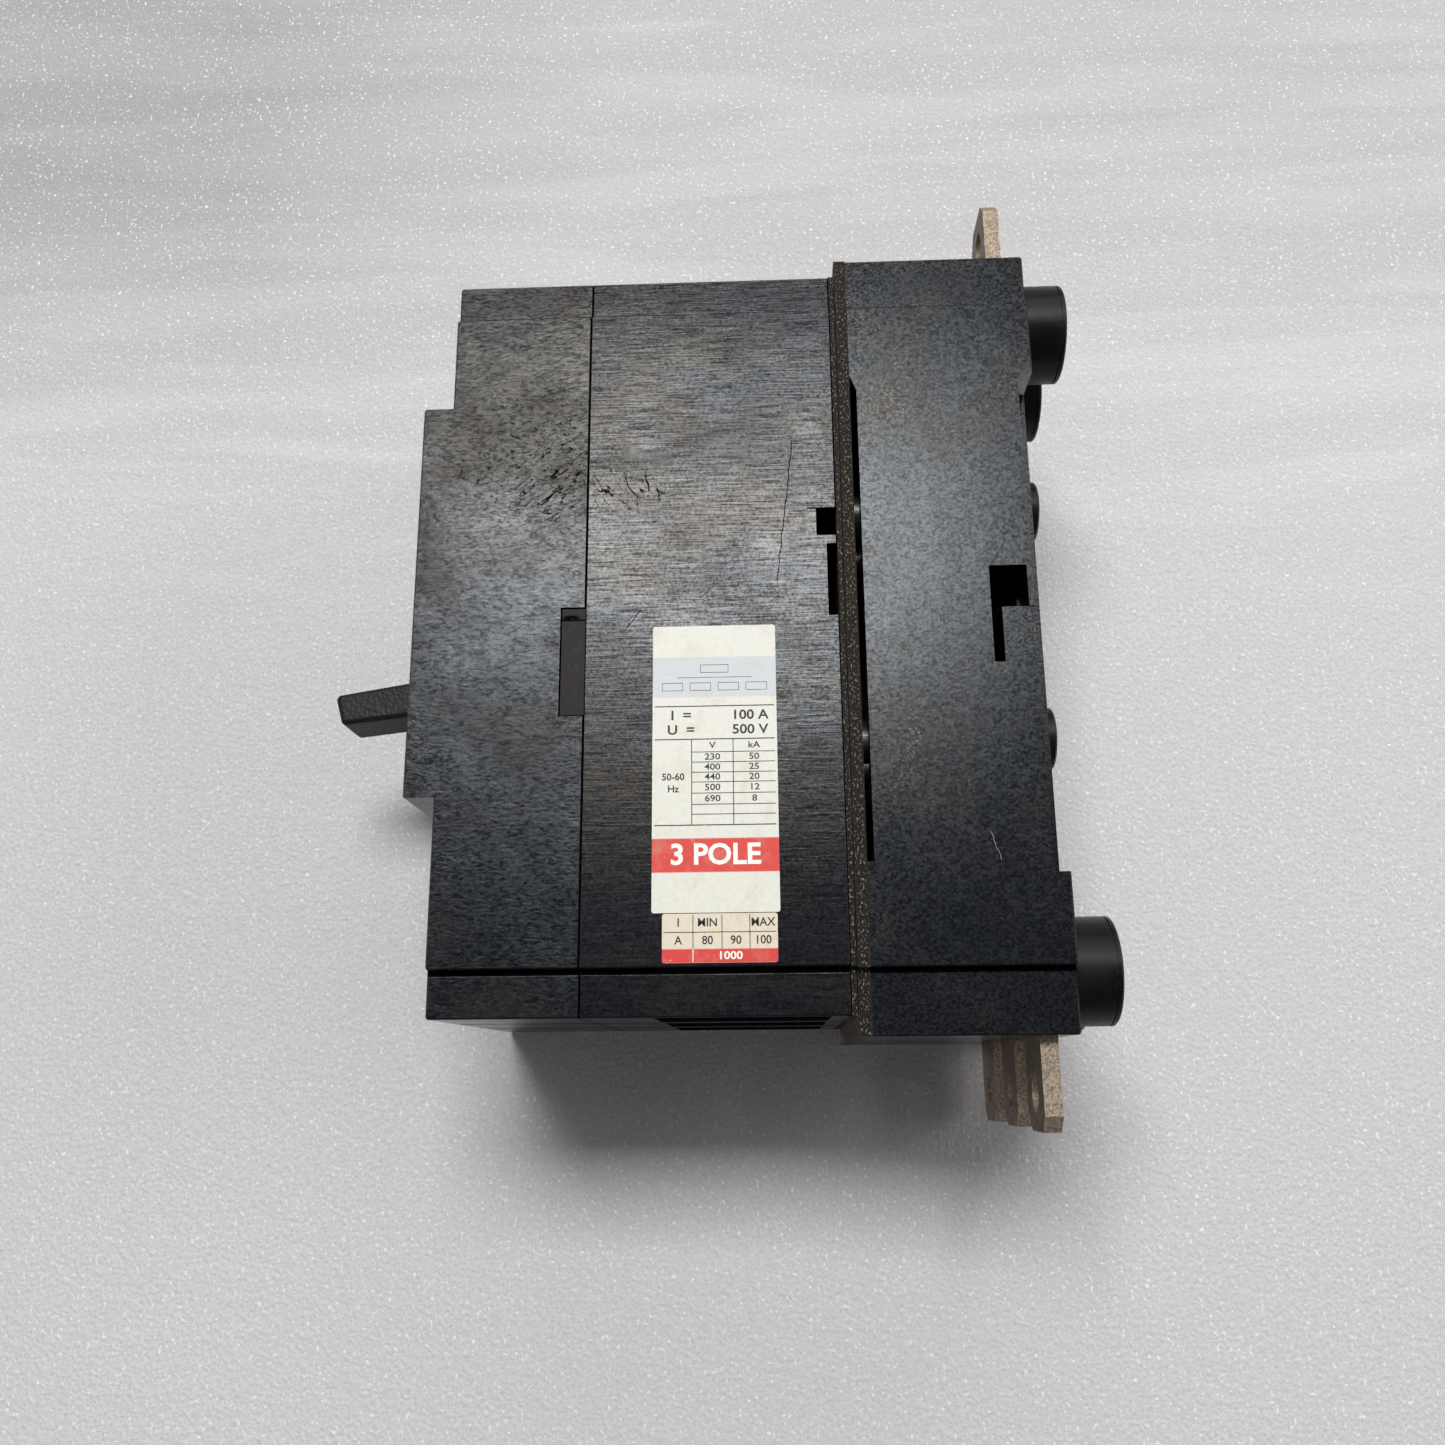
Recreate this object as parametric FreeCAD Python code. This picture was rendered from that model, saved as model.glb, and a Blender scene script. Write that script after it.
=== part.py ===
import FreeCAD, Part
import math
import os
from FreeCAD import Vector

# Three-pole plug-in moulded case breaker on its plug-in base.
# Frame: X across the poles, Y from the front (-) to the rear (+), Z up as mounted.
# The origin is the centre of the base's rear mounting plane.  Millimetres.

# ---- driving dimensions -------------------------------------------------
POLE_PITCH = 30.0
POLES = [-POLE_PITCH, 0.0, POLE_PITCH]
WALLS_BETWEEN = [-POLE_PITCH / 2, POLE_PITCH / 2]
HALF_W = 45.0
STRIP_INSET = 2.0            # the end strips stand back from the side faces
EDGE = 0.4                   # small moulded edge rounding

BASE_FRONT, BASE_REAR = -41.6, 0.0
BASE_HALF_H, BASE_MAIN_HALF_H = 89.1, 75.5
BASE_GAP_FLOOR = -40.1       # floor of the shallow gap in the base's front face
GAP_HALF_H = 54.0
SIDE_STEP_X, SIDE_STEP_Y = 33.8, -3.5
FOOT_TOP, FOOT_TOP_SLANT, FOOT_BOTTOM = 55.5, 57.9, -56.6
POCKET_FRONT, POCKET_SLOT_REAR, POCKET_REAR = -12.8, -10.4, -4.6
POCKET_Z, POCKET_SHELF = (-11.4, 10.7), 1.2
NOTCH_FRONT, NOTCH_STEP, NOTCH_Z = -52.1, -50.1, (18.7, 25.4)
SIDE_SLOT_FRONT, SIDE_SLOT_Z = -47.95, (0.0, 16.8)
SIDE_RELIEF = 0.4            # how far the shallow floors stand below the side face

THICK_PLATE = (-44.3, -41.6)
THIN_PLATE = (-45.6, -44.45)
CASE_REAR, JOINT = -45.6, -101.1
COVER_FRONT, RAISED_FRONT = -132.7, -139.4
RAISED_BOTTOM, RAISED_TOP = -39.1, 52.1
HALF_H, MAIN_HALF_H = 85.0, 75.2
WALL = 3.5
CASE_WALL_INNER = CASE_REAR - 4.0

BAY_HALF_W = 13.8            # half width of the middle pole's bay
BARRIER_Z = 63.6             # end of the bays, before the terminal compartments
COMPARTMENT_Z, COMPARTMENT_FRONT, COMPARTMENT_HALF_W = 66.0, -86.2, 11.5
COVER_INNER = -129.7
BASE_FLOOR = -14.0           # floor of the cavities in the base, seen from the front
SIDE_PLUG_FRONT, SIDE_PLUG_Z, SIDE_PLUG_GAP = -106.6, (-21.8, 3.0), 0.3
WINDOW_HALF_W, WINDOW_HALF_H = 8.3, 23.6
VENT_COUNT, VENT_FRONT, VENT_PITCH, VENT_SLOT = 4, -125.0, 5.0, 2.2

CONTACT_Z = 75.7             # plug contacts above and below the centre
SOCKET_R, SOCKET_OUT = 11.45, 9.85
PIN_R, PIN_TIP = 5.0, -17.0
JAW_R, JAW_FRONT, CHAMBER_R = 8.0, -38.5, 10.5
CONDUCTOR_FRONT = -52.6
BOLT_Z = [36.1, -21.2]
BOSS_R, BOSS_OUT = 7.35, 4.4
BOLT_R, BOLT_HOLE_R, BOLT_HEAD_R, BOLT_SEAT_R = 2.45, 2.7, 4.2, 4.4
INSERT_R, INSERT_FRONT = 3.6, -55.5
PANEL_HOLE_Z, PANEL_HOLE_R = 62.0, 2.75

BAR_HALF_W, BAR_Y = 8.7, (-7.6, -3.9)
BAR_TIP, BAR_HOLE_Z, BAR_HOLE_R = 108.1, 100.8, 3.5

# moving parts: centres in the YZ plane, all axes along X
HANDLE_PIVOT = (-92.0, 2.0)
HANDLE_REST = 8.0            # degrees below horizontal in the tripped position
CROSSBAR = (-72.0, 4.0)
ARM_OPEN = 24.0              # degrees from closed to the tripped position
CRADLE_PIVOT, CRADLE_LINK = (-108.0, 32.0), (-112.0, 14.0)
LINK_LENGTH = 19.2
LINK_ON_ARM = (-3.0, 15.0)   # lower link pin, from the crossbar, contacts closed
CRADLE_NOSE = (-104.5, -17.3)
LATCH_PIVOT = (-84.0, -22.0)
LATCH_RELEASED = 7.0         # degrees the latch hangs below its engaged position
TRIP_BAR = (-116.0, -54.0)
TRIP_BAR_R = 3.5
BUTTON_X, BUTTON_Z = 30.0, -72.0
DIAL_X, DIAL_Z = -32.0, -60.0
BUTTON_R, BUTTON_FRONT, BUTTON_SHOULDER = 3.95, -134.6, -130.2
DIAL_R, DIAL_FRONT = 6.6, -133.5
COVER_SCREW_Z, COVER_SCREW_R = 66.0, 2.0
SCREW_HEAD_R, SCREW_HEAD_FRONT, SCREW_SEAT = 3.8, -130.2, -127.0
SPLITTER_COUNT, SPLITTER_FRONT, SPLITTER_PITCH, SPLITTER_THICK = 9, -94.0, 3.9, 1.2
SPACER_AT = ((-57.0, 4.0), (-57.0, 24.0))

FRAME_X = (8.8, 10.2)        # steel side plates of the mechanism
YOKE_X = (11.0, 12.4)
CRADLE_X = (7.0, 8.2)
UPPER_LINK_X = (5.5, 6.7)
LOWER_LINK_X = (3.5, 4.7)
PIVOT_R, LINK_PIN_R = 2.0, 1.5
YOKE_REACH = 30.4            # handle pivot to the rear of the handle's root
SHROUD_R, SHROUD_HALF_W = 42.0, 12.3
RUNNING = 0.06               # radial running clearance


# ---- small helpers ------------------------------------------------------
def box(x, y, z):
    return Part.makeBox(x[1] - x[0], y[1] - y[0], z[1] - z[0], Vector(x[0], y[0], z[0]))


def rod_x(radius, x, at):
    return Part.makeCylinder(radius, x[1] - x[0], Vector(x[0], at[0], at[1]), Vector(1, 0, 0))


def rod_y(radius, y, at):
    return Part.makeCylinder(radius, y[1] - y[0], Vector(at[0], y[0], at[1]), Vector(0, 1, 0))


def ring_y(outer, inner, y, at):
    return rod_y(outer, y, at).cut(rod_y(inner, (y[0] - 1, y[1] + 1), at))


def plate_x(points, x):
    """A flat plate with an outline in the YZ plane and its thickness along X."""
    corners = [Vector(x[0], p[0], p[1]) for p in points]
    face = Part.Face(Part.makePolygon(corners + corners[:1]))
    return face.extrude(Vector(x[1] - x[0], 0, 0))


def link_x(start, end, width, x):
    """A link plate with round ends between two pins."""
    along = math.atan2(end[1] - start[1], end[0] - start[0])
    side = (-math.sin(along) * width / 2, math.cos(along) * width / 2)
    outline = [(start[0] + side[0], start[1] + side[1]), (end[0] + side[0], end[1] + side[1]),
               (end[0] - side[0], end[1] - side[1]), (start[0] - side[0], start[1] - side[1])]
    ends = [rod_x(width / 2, x, start), rod_x(width / 2, x, end)]
    return plate_x(outline, x).multiFuse(ends).removeSplitter()


def coil_sleeve(start, end, radius, wire):
    """The hollow sleeve that a round wire coil fills between two points."""
    start, end = Vector(*start), Vector(*end)
    along = end - start
    outer = Part.makeCylinder(radius + wire, along.Length, start, along)
    return outer.cut(Part.makeCylinder(radius - wire, along.Length, start, along))


def mirrored(shape):
    return [shape, shape.mirror(Vector(0, 0, 0), Vector(1, 0, 0))]


def turned(shape, centre, degrees):
    """The shape turned about an X axis through centre; positive takes +Y to +Z."""
    copy = shape.copy()
    copy.rotate(Vector(0, centre[0], centre[1]), Vector(1, 0, 0), degrees)
    return copy


def turned_point(point, centre, degrees):
    angle = math.radians(degrees)
    dy, dz = point[0] - centre[0], point[1] - centre[1]
    return (centre[0] + dy * math.cos(angle) - dz * math.sin(angle),
            centre[1] + dy * math.sin(angle) + dz * math.cos(angle))


def cut_all(shape, tools):
    return shape.cut(Part.makeCompound(tools))


def save(name, shapes):
    solids = []
    for shape in shapes if isinstance(shapes, list) else [shapes]:
        solids += shape.Solids
    result = solids[0] if len(solids) == 1 else Part.makeCompound(solids)
    result.exportStep("parts/" + name + ".step")


def outline_block(y, half_h, main_half_h):
    """The housing section: full width in the middle, narrower along both end strips."""
    wide, narrow = HALF_W, HALF_W - STRIP_INSET
    quarter = [(wide, -main_half_h), (wide, main_half_h), (narrow, main_half_h), (narrow, half_h)]
    points = quarter + [(-px, pz) for px, pz in reversed(quarter)]
    lower = [(narrow, -half_h), (narrow, -main_half_h)]
    points = lower + points + [(-px, pz) for px, pz in reversed(lower)]
    corners = [Vector(px, y[0], pz) for px, pz in points]
    face = Part.Face(Part.makePolygon(corners + corners[:1]))
    return face.extrude(Vector(0, y[1] - y[0], 0))


def soften(shape, size, keep):
    """Chamfers the straight edges for which keep(low, high) is true."""
    edges = []
    for edge in shape.Edges:
        bounds = edge.BoundBox
        low = Vector(bounds.XMin, bounds.YMin, bounds.ZMin)
        high = Vector(bounds.XMax, bounds.YMax, bounds.ZMax)
        if keep(low, high):
            edges.append(edge)
    return shape.makeChamfer(size, edges)


def outer_corner(low, high):
    """True for an edge along Y at an outward corner of the housing section."""
    along_y = high.y - low.y > 1.0 and high.x - low.x < 0.01 and high.z - low.z < 0.01
    width = abs(low.x)
    inward = abs(width - (HALF_W - STRIP_INSET)) < 0.01 and abs(low.z) < BASE_MAIN_HALF_H + 1
    return along_y and not inward


def end_rim(y):
    """A test for the rim edges that lie in the plane at y."""
    return lambda low, high: abs(low.y - y) < 0.01 and abs(high.y - y) < 0.01


# ---- plug-in base -------------------------------------------------------
def plug_in_base():
    body = outline_block((BASE_FRONT, BASE_REAR), BASE_HALF_H, BASE_MAIN_HALF_H)
    body = soften(body, EDGE, outer_corner)
    body = soften(body, EDGE, end_rim(BASE_REAR))
    cuts = [box((-HALF_W - 1, HALF_W + 1), (BASE_FRONT - 1, BASE_GAP_FLOOR), (-GAP_HALF_H, GAP_HALF_H))]
    ramp = [(BASE_FRONT - 1, GAP_HALF_H - 1), (BASE_GAP_FLOOR, GAP_HALF_H - 1),
            (BASE_GAP_FLOOR, GAP_HALF_H), (BASE_FRONT, FOOT_TOP_SLANT), (BASE_FRONT - 1, FOOT_TOP_SLANT)]
    cuts.append(plate_x(ramp, (-HALF_W - 1, HALF_W + 1)))
    step = [(SIDE_STEP_Y, FOOT_BOTTOM), (BASE_REAR + 1, FOOT_BOTTOM), (BASE_REAR + 1, FOOT_TOP_SLANT + 0.7),
            (BASE_REAR, FOOT_TOP_SLANT), (SIDE_STEP_Y, FOOT_TOP)]
    cuts += mirrored(plate_x(step, (SIDE_STEP_X, HALF_W + 1)))
    # side pocket: a deep slot along its front, a chamber in its upper half, a shallow floor below
    outside = HALF_W + 1
    slot = box((HALF_W - 14.0, outside), (POCKET_FRONT, POCKET_SLOT_REAR), POCKET_Z)
    chamber = box((HALF_W - 12.0, outside), (POCKET_SLOT_REAR, POCKET_REAR), (POCKET_SHELF, POCKET_Z[1]))
    floor = box((HALF_W - SIDE_RELIEF, outside), (POCKET_SLOT_REAR, 1.0), (POCKET_Z[0], POCKET_SHELF))
    for pocket in (slot, chamber, floor):
        cuts += mirrored(pocket)
    # inside: middle cavity, contact chambers, terminal slots, cap seats
    cuts.append(box((-40.0, 40.0), (BASE_FRONT - 1, BASE_FLOOR), (-GAP_HALF_H, GAP_HALF_H)))
    for x in POLES:
        for end in (-1, 1):
            cuts.append(rod_y(CHAMBER_R, (BASE_FRONT - 1, BAR_Y[0] - 0.1), (x, end * CONTACT_Z)))
            cuts.append(rod_y(SOCKET_R + 0.05, (BAR_Y[1], 1.0), (x, end * CONTACT_Z)))
            slot_z = sorted((end * 65.8, end * 95.0))
            cuts.append(box((x - BAR_HALF_W - 0.2, x + BAR_HALF_W + 0.2),
                            (BAR_Y[0] - 0.1, BAR_Y[1] + 0.1), slot_z))
    for x in WALLS_BETWEEN:
        for z in BOLT_Z:
            cuts.append(rod_y(BOLT_HOLE_R, (BASE_FRONT, 1.0), (x, z)))
            cuts.append(rod_y(BOLT_SEAT_R, (-3.3, 1.0), (x, z)))
        for z in (-PANEL_HOLE_Z, PANEL_HOLE_Z):
            cuts.append(rod_y(PANEL_HOLE_R, (BASE_FRONT, 1.0), (x, z)))
            cuts.append(rod_y(5.0, (BASE_FRONT - 1, -8.0), (x, z)))
    save("plug_in_base", cut_all(body, cuts))


def base_contacts():
    caps, screws, jaws, springs = [], [], [], []
    for x in POLES:
        for end in (-1, 1):
            at = (x, end * CONTACT_Z)
            cap = rod_y(SOCKET_R, (BAR_Y[1] + 0.1, SOCKET_OUT), at)
            groove = ring_y(SOCKET_R + 1, SOCKET_R - 0.35, (SOCKET_OUT - 1.35, SOCKET_OUT - 1.05), at)
            cap = soften(cap, 0.35, end_rim(SOCKET_OUT)).cut(groove)
            caps.append(cap.cut(rod_y(8.0, (BAR_Y[1], SOCKET_OUT - 2.6), at)))
            slit = box((x - 0.6, x + 0.6), (-1.2, 1.0), (at[1] - 6, at[1] + 6))
            head = rod_y(5.0, (BAR_Y[1], 0.0), at).cut(slit)
            screws.append(head.fuse(rod_y(2.95, (-13.6, BAR_Y[1] + 0.5), at)).removeSplitter())
            jaws.append(jaw(at))
            for y in (-35.5, -30.5):
                springs.append(Part.makeTorus(8.65, 0.6, Vector(x, y, at[1]), Vector(0, 1, 0)))
    save("contact_caps", caps)
    save("contact_screws", screws)
    save("jaw_contacts", jaws)
    save("jaw_clamp_springs", springs)


def jaw(at):
    """A round socket with four fingers on a solid foot."""
    tube = ring_y(JAW_R, PIN_R + RUNNING, (JAW_FRONT, BASE_FLOOR), at)
    slits = [box((at[0] - 9, at[0] + 9), (JAW_FRONT - 0.5, BASE_FLOOR - 4), (at[1] - 0.6, at[1] + 0.6)),
             box((at[0] - 0.6, at[0] + 0.6), (JAW_FRONT - 0.5, BASE_FLOOR - 4), (at[1] - 9, at[1] + 9))]
    foot = ring_y(JAW_R, 3.0, (BASE_FLOOR, BAR_Y[0]), at)
    return cut_all(tube, slits).fuse(foot).removeSplitter()


def terminals():
    for name, end in (("line_terminals", 1), ("load_terminals", -1)):
        bars = []
        for x in POLES:
            bar = box((x - BAR_HALF_W, x + BAR_HALF_W), BAR_Y, sorted((end * 66.0, end * BAR_TIP)))
            tip = end * BAR_TIP
            bar = soften(bar, 3.2, lambda low, high: abs(low.z - tip) < 0.01 and abs(high.z - tip) < 0.01
                         and high.x - low.x < 0.01)
            hole = rod_y(BAR_HOLE_R, (BAR_Y[0] - 1, BAR_Y[1] + 1), (x, end * BAR_HOLE_Z))
            screw_hole = rod_y(3.0, (BAR_Y[0] - 1, BAR_Y[1] + 1), (x, end * CONTACT_Z))
            bars.append(bar.cut(hole).cut(screw_hole))
        save(name, bars)


# ---- insulating plates and the bolts through them -----------------------
def insulating_plates():
    for name, y, half_h, main in (("thick_insulating_plate", THICK_PLATE, BASE_HALF_H, BASE_MAIN_HALF_H),
                                  ("thin_insulating_plate", THIN_PLATE, HALF_H, MAIN_HALF_H)):
        plate = outline_block(y, half_h, main)
        through = (y[0] - 1, y[1] + 1)
        holes = [rod_y(PIN_R + 1.5, through, (x, end * CONTACT_Z)) for x in POLES for end in (-1, 1)]
        holes += [rod_y(BOLT_HOLE_R, through, (x, z)) for x in WALLS_BETWEEN for z in BOLT_Z]
        save(name, cut_all(plate, holes))


def assembly_hardware():
    bolts, sleeves, caps, inserts = [], [], [], []
    for x in WALLS_BETWEEN:
        for z in BOLT_Z:
            at = (x, z)
            socket = rod_y(2.0, (-1.6, 1.0), at)
            head = rod_y(BOLT_HEAD_R, (-3.2, 0.0), at).cut(socket)
            bolts.append(head.fuse(rod_y(BOLT_R, (INSERT_FRONT + 1, -3.0), at)).removeSplitter())
            sleeves.append(ring_y(5.0, 2.6, (BASE_FRONT, BASE_FLOOR), at))
            cap = soften(rod_y(BOSS_R, (BASE_REAR, BOSS_OUT), at), 0.4, end_rim(BOSS_OUT))
            caps.append(cap.cut(rod_y(BOLT_SEAT_R, (BASE_REAR - 1, BASE_REAR + 2.4), at)))
            inserts.append(ring_y(INSERT_R, 2.5, (INSERT_FRONT, CASE_REAR), at))
    save("assembly_bolts", bolts)
    save("spacer_sleeves", sleeves)
    save("boss_caps", caps)
    save("case_inserts", inserts)


# ---- breaker housing ----------------------------------------------------
def bays(y, z, side_x):
    """The three hollow bays between the pole walls."""
    outer = (POLE_PITCH - BAY_HALF_W, side_x)
    return [box((-BAY_HALF_W, BAY_HALF_W), y, z)] + mirrored(box(outer, y, z))


def case():
    body = outline_block((JOINT, CASE_REAR), HALF_H, MAIN_HALF_H)
    body = soften(body, EDGE, outer_corner)
    body = soften(body, EDGE / 2, end_rim(JOINT))
    cuts = bays((JOINT - 1, CASE_WALL_INNER), (-BARRIER_Z, BARRIER_Z), HALF_W - WALL)
    across = (-HALF_W + WALL, HALF_W - WALL)
    cuts.append(box(across, (JOINT - 1, CROSSBAR[0]), (CROSSBAR[1] - 7.4, CROSSBAR[1] + 7.4)))
    cuts.append(rod_x(7.4, across, CROSSBAR))
    for end in (-1, 1):
        for x in POLES:
            z = sorted((end * COMPARTMENT_Z, end * (HALF_H + 1)))
            wide = (x - COMPARTMENT_HALF_W, x + COMPARTMENT_HALF_W)
            cuts.append(box(wide, (COMPARTMENT_FRONT, CASE_WALL_INNER), z))
            z = sorted((end * COMPARTMENT_Z, end * (HALF_H - 4)))
            cuts.append(box(wide, (JOINT - 1, COMPARTMENT_FRONT - 2.6), z))
            z = sorted((end * (BARRIER_Z - 1), end * (COMPARTMENT_Z + 1)))
            cuts.append(box((x - 7.1, x + 7.1), (-52.8, CASE_WALL_INNER), z))
            cuts.append(rod_y(PIN_R + 0.1, (CASE_WALL_INNER - 1, CASE_REAR + 1), (x, end * CONTACT_Z)))
        for x in WALLS_BETWEEN:
            z = sorted((end * 80.0, end * (HALF_H + 1)))
            cuts.append(box((x - 1.1, x + 1.1), (JOINT - 1, CASE_REAR + 1), z))
            cuts.append(rod_y(2.05, (JOINT - 1, -86.5), (x, end * COVER_SCREW_Z)))
    # lead outlet with a shallow step in front of it, and a slot, at the rear edge of the side wall
    outside, deep = HALF_W + 1, HALF_W - 10.0
    step = box((HALF_W - SIDE_RELIEF, outside), (NOTCH_FRONT, NOTCH_STEP), NOTCH_Z)
    outlet = box((deep, outside), (NOTCH_STEP, CASE_REAR + 1), NOTCH_Z)
    slot = box((deep, outside), (SIDE_SLOT_FRONT, CASE_REAR + 1), SIDE_SLOT_Z)
    for opening in (step, outlet, slot):
        cuts += mirrored(opening)
    body = cut_all(body, cuts)
    bosses = [rod_y(4.7, (-57.5, CASE_WALL_INNER), (x, z)) for x in WALLS_BETWEEN for z in BOLT_Z]
    holes = [rod_y(INSERT_R, (INSERT_FRONT, CASE_REAR + 1), (x, z)) for x in WALLS_BETWEEN for z in BOLT_Z]
    holes += mirrored(box((0.0, FRAME_X[1] + 0.3), (-58.0, CASE_WALL_INNER), (-25.0, 40.0)))
    save("case", cut_all(body.multiFuse(bosses), holes).removeSplitter())


def front_cover():
    body = outline_block((COVER_FRONT, JOINT), HALF_H, MAIN_HALF_H)
    body = soften(body, EDGE, outer_corner)
    body = soften(body, EDGE, end_rim(COVER_FRONT))
    body = soften(body, EDGE / 2, end_rim(JOINT))
    raised = box((-HALF_W, HALF_W), (RAISED_FRONT, COVER_FRONT + 1), (RAISED_BOTTOM, RAISED_TOP))
    raised = soften(raised, EDGE, lambda low, high: low.y < COVER_FRONT and high.y < COVER_FRONT + 0.99)
    body = body.fuse(raised).removeSplitter()
    inner = (COVER_INNER, JOINT + 1)
    cuts = [box((-HALF_W + WALL, HALF_W - WALL), inner, (-BARRIER_Z, BARRIER_Z)),
            box((-HALF_W + WALL, HALF_W - WALL), (RAISED_FRONT + 3, COVER_INNER + 1.7),
                (RAISED_BOTTOM + 3, RAISED_TOP - 3))]
    for end in (-1, 1):
        for x in POLES:
            z = sorted((end * (BARRIER_Z - 1), end * (HALF_H - 4)))
            cuts.append(box((x - COMPARTMENT_HALF_W, x + COMPARTMENT_HALF_W), inner, z))
        for x in WALLS_BETWEEN:
            z = sorted((end * 80.0, end * (HALF_H + 1)))
            cuts.append(box((x - 1.1, x + 1.1), (COVER_FRONT - 1, JOINT + 1), z))
            at = (x, end * COVER_SCREW_Z)
            cuts.append(rod_y(2.2, (COVER_FRONT, JOINT + 1), at))
            cuts.append(rod_y(SCREW_HEAD_R + 0.5, (COVER_FRONT - 1, SCREW_SEAT), at))
    # arc vents in the upper end wall
    for x in POLES:
        for k in range(VENT_COUNT):
            y = VENT_FRONT + VENT_PITCH * k
            cuts.append(box((x - 8.0, x + 8.0), (y, y + VENT_SLOT), (HALF_H - 5, HALF_H + 1)))
    # handle window, dial and button holes, side plug seats
    cuts.append(box((-WINDOW_HALF_W, WINDOW_HALF_W), (RAISED_FRONT - 1, RAISED_FRONT + 4),
                    (-WINDOW_HALF_H, WINDOW_HALF_H)))
    cuts.append(rod_y(7.0, (COVER_FRONT - 1, -131.4), (DIAL_X, DIAL_Z)))
    cuts.append(rod_y(4.0 + RUNNING, (COVER_FRONT, -128.0), (DIAL_X, DIAL_Z)))
    cuts += mirrored(box((HALF_W - 2.0, HALF_W + 1), (SIDE_PLUG_FRONT, JOINT + 1), SIDE_PLUG_Z))
    body = cut_all(body, cuts)
    well = rod_y(6.5, (COVER_FRONT + 1, -122.0), (BUTTON_X, BUTTON_Z))
    bore = [rod_y(4.1, (COVER_FRONT - 1, -124.0), (BUTTON_X, BUTTON_Z)),
            rod_y(1.7, (-125.0, -121.0), (BUTTON_X, BUTTON_Z))]
    save("front_cover", cut_all(body.fuse(well).removeSplitter(), bore))


def housing_trim():
    plug_z = (SIDE_PLUG_Z[0] + SIDE_PLUG_GAP, SIDE_PLUG_Z[1] - SIDE_PLUG_GAP)
    plug = box((HALF_W - 1.95, HALF_W - 0.35), (SIDE_PLUG_FRONT + SIDE_PLUG_GAP, JOINT), plug_z)
    save("side_plugs", mirrored(plug))
    screws = []
    for x in WALLS_BETWEEN:
        for z in (-COVER_SCREW_Z, COVER_SCREW_Z):
            head = rod_y(SCREW_HEAD_R, (SCREW_HEAD_FRONT, SCREW_SEAT), (x, z))
            head = soften(head, 0.4, end_rim(SCREW_HEAD_FRONT))
            head = head.cut(box((x - 0.5, x + 0.5), (-131.0, -129.0), (z - 5, z + 5)))
            screws.append(head.fuse(rod_y(COVER_SCREW_R, (-128.0, -88.0), (x, z))).removeSplitter())
    save("cover_screws", screws)
    label = (HALF_W, HALF_W + 0.15)
    save("rating_label", box(label, (-86.2, -59.7), (-64.15, -2.0)))
    save("trip_label", box(label, (-84.0, -60.3), (-74.3, -64.3)))


# ---- current path -------------------------------------------------------
def arm_outline():
    """The contact arm, from the crossbar centre, with the contacts closed."""
    return [(-4, -12), (3, -12), (4.5, 0), (12.1, 34), (12.1, 46), (6.5, 46), (3, 30), (0.5, 20.5),
            (-4.5, 19), (-7, 16.5), (-7, 12.5), (-4.5, 8)]


def placed(points, centre):
    return [(p[0] + centre[0], p[1] + centre[1]) for p in points]


def contacts():
    arms, tips, slots = [], [], []
    pin = (CROSSBAR[0] + LINK_ON_ARM[0], CROSSBAR[1] + LINK_ON_ARM[1])
    for x in POLES:
        blank = plate_x(placed(arm_outline(), CROSSBAR), (x - 3, x + 3))
        arm = blank.cut(rod_x(LINK_PIN_R, (x - 4, x + 4), pin))
        arms.append(turned(arm, CROSSBAR, ARM_OPEN))
        slots.append(turned(blank, CROSSBAR, ARM_OPEN))
        pad_z = (CROSSBAR[1] + 37, CROSSBAR[1] + 45)
        pad = box((x - 4, x + 4), (CROSSBAR[0] + 12.1, CROSSBAR[0] + 14.1), pad_z)
        tips.append(turned(pad, CROSSBAR, ARM_OPEN))
    save("contact_arms", arms)
    save("moving_contact_tips", tips)
    save("crossbar", cut_all(rod_x(7.0, (-40.0, 40.0), CROSSBAR), slots))
    fixed_tips = [box((x - 4, x + 4), (-57.6, -55.6), (40.5, 49.5)) for x in POLES]
    save("fixed_contact_tips", fixed_tips)


def conductors():
    line, load, pins, screws, braids = [], [], [], [], []
    y = (CONDUCTOR_FRONT, CASE_WALL_INNER)
    for x in POLES:
        bar = box((x - 7, x + 7), y, (38.0, 82.0)).fuse(
            box((x - 5, x + 5), (CONDUCTOR_FRONT - 3, CONDUCTOR_FRONT), (40.0, 50.0)))
        line.append(bar.removeSplitter().cut(rod_y(2.0, (-60.0, -49.0), (x, CONTACT_Z))))
        bar = box((x - 7, x + 7), y, (-82.0, -44.0)).fuse(
            box((x - 6, x + 6), (-98.0, CONDUCTOR_FRONT), (-47.0, -44.0)))
        bar = bar.fuse(box((x - 4, x + 4), (-62.0, -56.0), (-44.0, -36.0)))
        load.append(bar.removeSplitter().cut(rod_y(2.0, (-60.0, -49.0), (x, -CONTACT_Z))))
        for end in (-1, 1):
            at = (x, end * CONTACT_Z)
            pin = soften(rod_y(PIN_R, (CASE_WALL_INNER, PIN_TIP), at), 1.5, end_rim(PIN_TIP))
            pins.append(pin.cut(rod_y(2.0, (CASE_WALL_INNER - 1, -40.0), at)))
            head = rod_y(4.0, (CONDUCTOR_FRONT - 2.8, CONDUCTOR_FRONT), at)
            head = head.cut(rod_y(1.5, (-56.0, -53.8), at))
            screws.append(head.fuse(rod_y(1.95, (-53.0, -41.0), at)).removeSplitter())
        braids.append(braid(x))
    save("line_conductors", line)
    save("load_conductors", load)
    save("plug_pins", pins)
    save("pin_screws", screws)
    save("flexible_braids", braids)


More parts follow.
